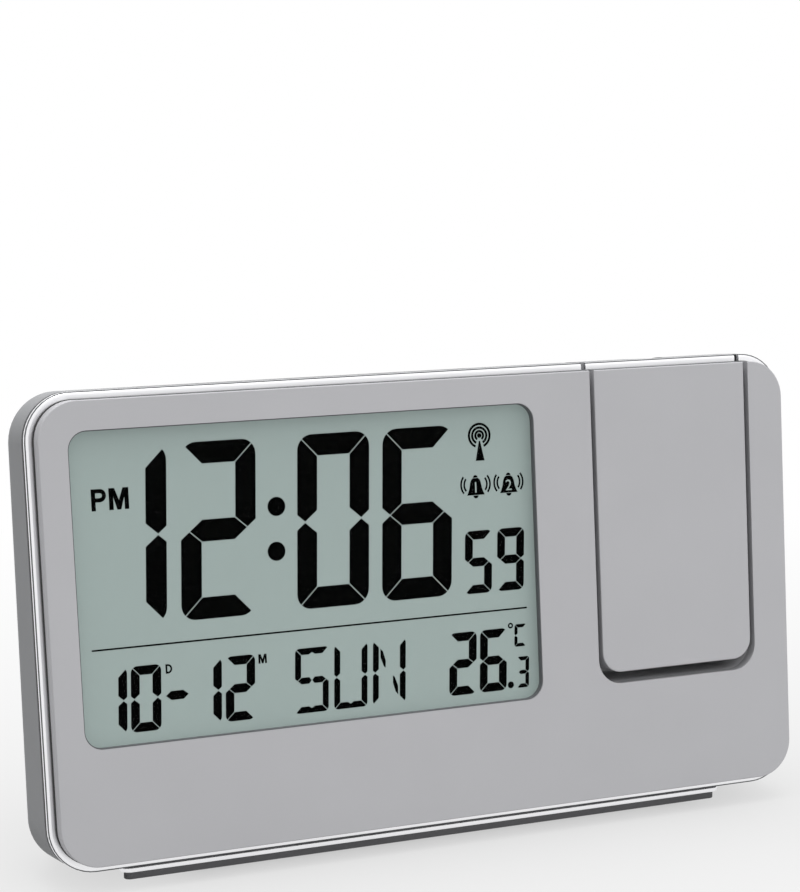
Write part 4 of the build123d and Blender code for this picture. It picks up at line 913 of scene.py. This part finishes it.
class CLOCK_OT_stage(bpy.types.Operator):
    """Sets up the floor, the light and the camera"""
    bl_idname = "clock.stage"
    bl_label = "Stage"

    def execute(self, context):
        t = context.scene.clock_studio
        clear_selection()
        bpy.ops.mesh.primitive_plane_add(size=t.floor_size)
        floor = bpy.context.object
        floor.name = "floor"
        floor.data.materials.append(self.floor_paint(t))
        context.scene.world = self.surroundings(t)
        self.lamp("key_lamp", t.key_power, t.key_size, Vector(t.light_from).normalized() * t.key_away)
        self.lamp("top_lamp", t.top_power, t.top_size, t.top_place)
        eye = bpy.data.cameras.new("camera")
        eye.lens, eye.shift_y, eye.sensor_width = t.lens, t.rise, SENSOR_WIDTH
        eye.clip_start, eye.clip_end = NEAREST, FARTHEST
        camera = bpy.data.objects.new("camera", eye)
        camera.location, camera.rotation_euler = t.eye, t.gaze
        context.collection.objects.link(camera)
        context.scene.camera = camera
        context.scene.view_settings.view_transform = "Standard"
        return {"FINISHED"}

    def lamp(self, name, power, size, place):
        """A large square lamp that faces the clock."""
        bpy.ops.object.light_add(type="AREA", location=place)
        lamp = bpy.context.object
        lamp.name = name
        lamp.data.energy, lamp.data.size = power, size
        lamp.rotation_euler = (Vector(place) - CLOCK_MIDDLE).to_track_quat("Z", "Y").to_euler()

    def seen(self, tree):
        """One for what the camera sees directly, in a mirror or through glass."""
        rays = add(tree, "LightPath").outputs
        either = worked(tree, "Math", "MAXIMUM", rays["Is Camera Ray"], rays["Is Glossy Ray"])
        return worked(tree, "Math", "MAXIMUM", either, rays["Is Transmission Ray"])

    def floor_paint(self, t):
        """Matt paper with a part of plain white in it: a soft shadow near the clock, plain white farther
        out, and nearly plain white where polished pieces mirror it."""
        material = bpy.data.materials.new("matt_white_paper")
        material.use_nodes = True
        tree = material.node_tree
        tree.nodes.clear()
        paper = add(tree, "BsdfPrincipled", {"Base Color": rgba(t.floor), "Roughness": 0.9,
                                             "Specular IOR Level": 0.1})
        glow = add(tree, "Emission", {"Color": WHITE, "Strength": 1.0})
        place = add(tree, "TexCoord").outputs["Object"]
        # how far outside the shaded part a place lies: zero inside it
        from_middle = worked(tree, "VectorMath", "SUBTRACT", place, t.shade_middle)
        folded = worked(tree, "VectorMath", "ABSOLUTE", from_middle)
        beyond = worked(tree, "VectorMath", "SUBTRACT", folded, t.shade_half)
        outside = worked(tree, "VectorMath", "MAXIMUM", beyond, (0, 0, 0))
        away = worked(tree, "VectorMath", "LENGTH", outside, out="Value")
        part = add(tree, "MapRange", {"From Max": t.reach}, {"Value": away})
        steep = worked(tree, "Math", "POWER", part.outputs["Result"], t.fall)
        fade = add(tree, "MapRange", {"To Min": t.plain}, {"Value": steep})
        direct = worked(tree, "Math", "MULTIPLY", fade.outputs["Result"], self.seen(tree))
        glossy = add(tree, "LightPath").outputs["Is Glossy Ray"]
        gloss = worked(tree, "Math", "MULTIPLY", glossy, t.mirrored)
        share = worked(tree, "Math", "MAXIMUM", direct, gloss)
        mixed = add(tree, "MixShader", {}, {"Fac": share, 1: paper.outputs["BSDF"],
                                            2: glow.outputs["Emission"]})
        add(tree, "OutputMaterial", {}, {"Surface": mixed.outputs["Shader"]})
        return material

    def surroundings(self, t):
        """White wherever it is seen; as a source of light brighter on one side than on the other."""
        world = bpy.data.worlds.new("white_studio")
        world.use_nodes = True
        tree = world.node_tree
        tree.nodes.clear()
        side = Vector(t.light_from).normalized()
        toward = worked(tree, "VectorMath", "DOT_PRODUCT", add(tree, "TexCoord").outputs["Generated"],
                        side, out="Value")
        level = add(tree, "MapRange", {"From Min": -t.ambient / t.slope, "From Max": 1, "To Min": 0,
                                       "To Max": t.ambient + t.slope}, {"Value": toward})
        soft = add(tree, "Background", {"Color": WHITE}, {"Strength": level.outputs["Result"]})
        white = add(tree, "Background", {"Color": WHITE, "Strength": 1.0})
        mixed = add(tree, "MixShader", {}, {"Fac": self.seen(tree),
                                            1: soft.outputs["Background"], 2: white.outputs["Background"]})
        add(tree, "OutputWorld", {}, {"Surface": mixed.outputs["Shader"]})
        return world


class CLOCK_PT_panel(bpy.types.Panel):
    """Lists the steps that dress the clock"""
    bl_idname = "CLOCK_PT_panel"
    bl_label = "Projection clock"
    bl_space_type = "VIEW_3D"
    bl_region_type = "UI"
    bl_category = "Clock"

    def draw(self, context):
        for group in ("clock_colours", "clock_readout", "clock_sizes", "clock_studio"):
            box = self.layout.box()
            settings = getattr(context.scene, group)
            for key in settings.bl_rna.properties.keys():
                if key not in ("rna_type", "name"):
                    box.prop(settings, key)
        for step in STEPS:
            self.layout.operator(step.bl_idname)


STEPS = [CLOCK_OT_finishes, CLOCK_OT_edges, CLOCK_OT_digits, CLOCK_OT_weekday, CLOCK_OT_marks,
         CLOCK_OT_signs, CLOCK_OT_stage]
GROUPS = {"clock_colours": ClockColours, "clock_readout": ClockReadout, "clock_sizes": ClockSizes,
          "clock_studio": ClockStudio}


def register():
    for kind in [*GROUPS.values(), *STEPS, CLOCK_PT_panel]:
        bpy.utils.register_class(kind)
    for name, kind in GROUPS.items():
        setattr(bpy.types.Scene, name, PointerProperty(type=kind))


def unregister():
    for name in GROUPS:
        delattr(bpy.types.Scene, name)
    for kind in reversed([*GROUPS.values(), *STEPS, CLOCK_PT_panel]):
        bpy.utils.unregister_class(kind)


def main():
    register()
    for step in STEPS:
        group, name = step.bl_idname.split(".")
        getattr(getattr(bpy.ops, group), name)()


if __name__ == "__main__":
    main()
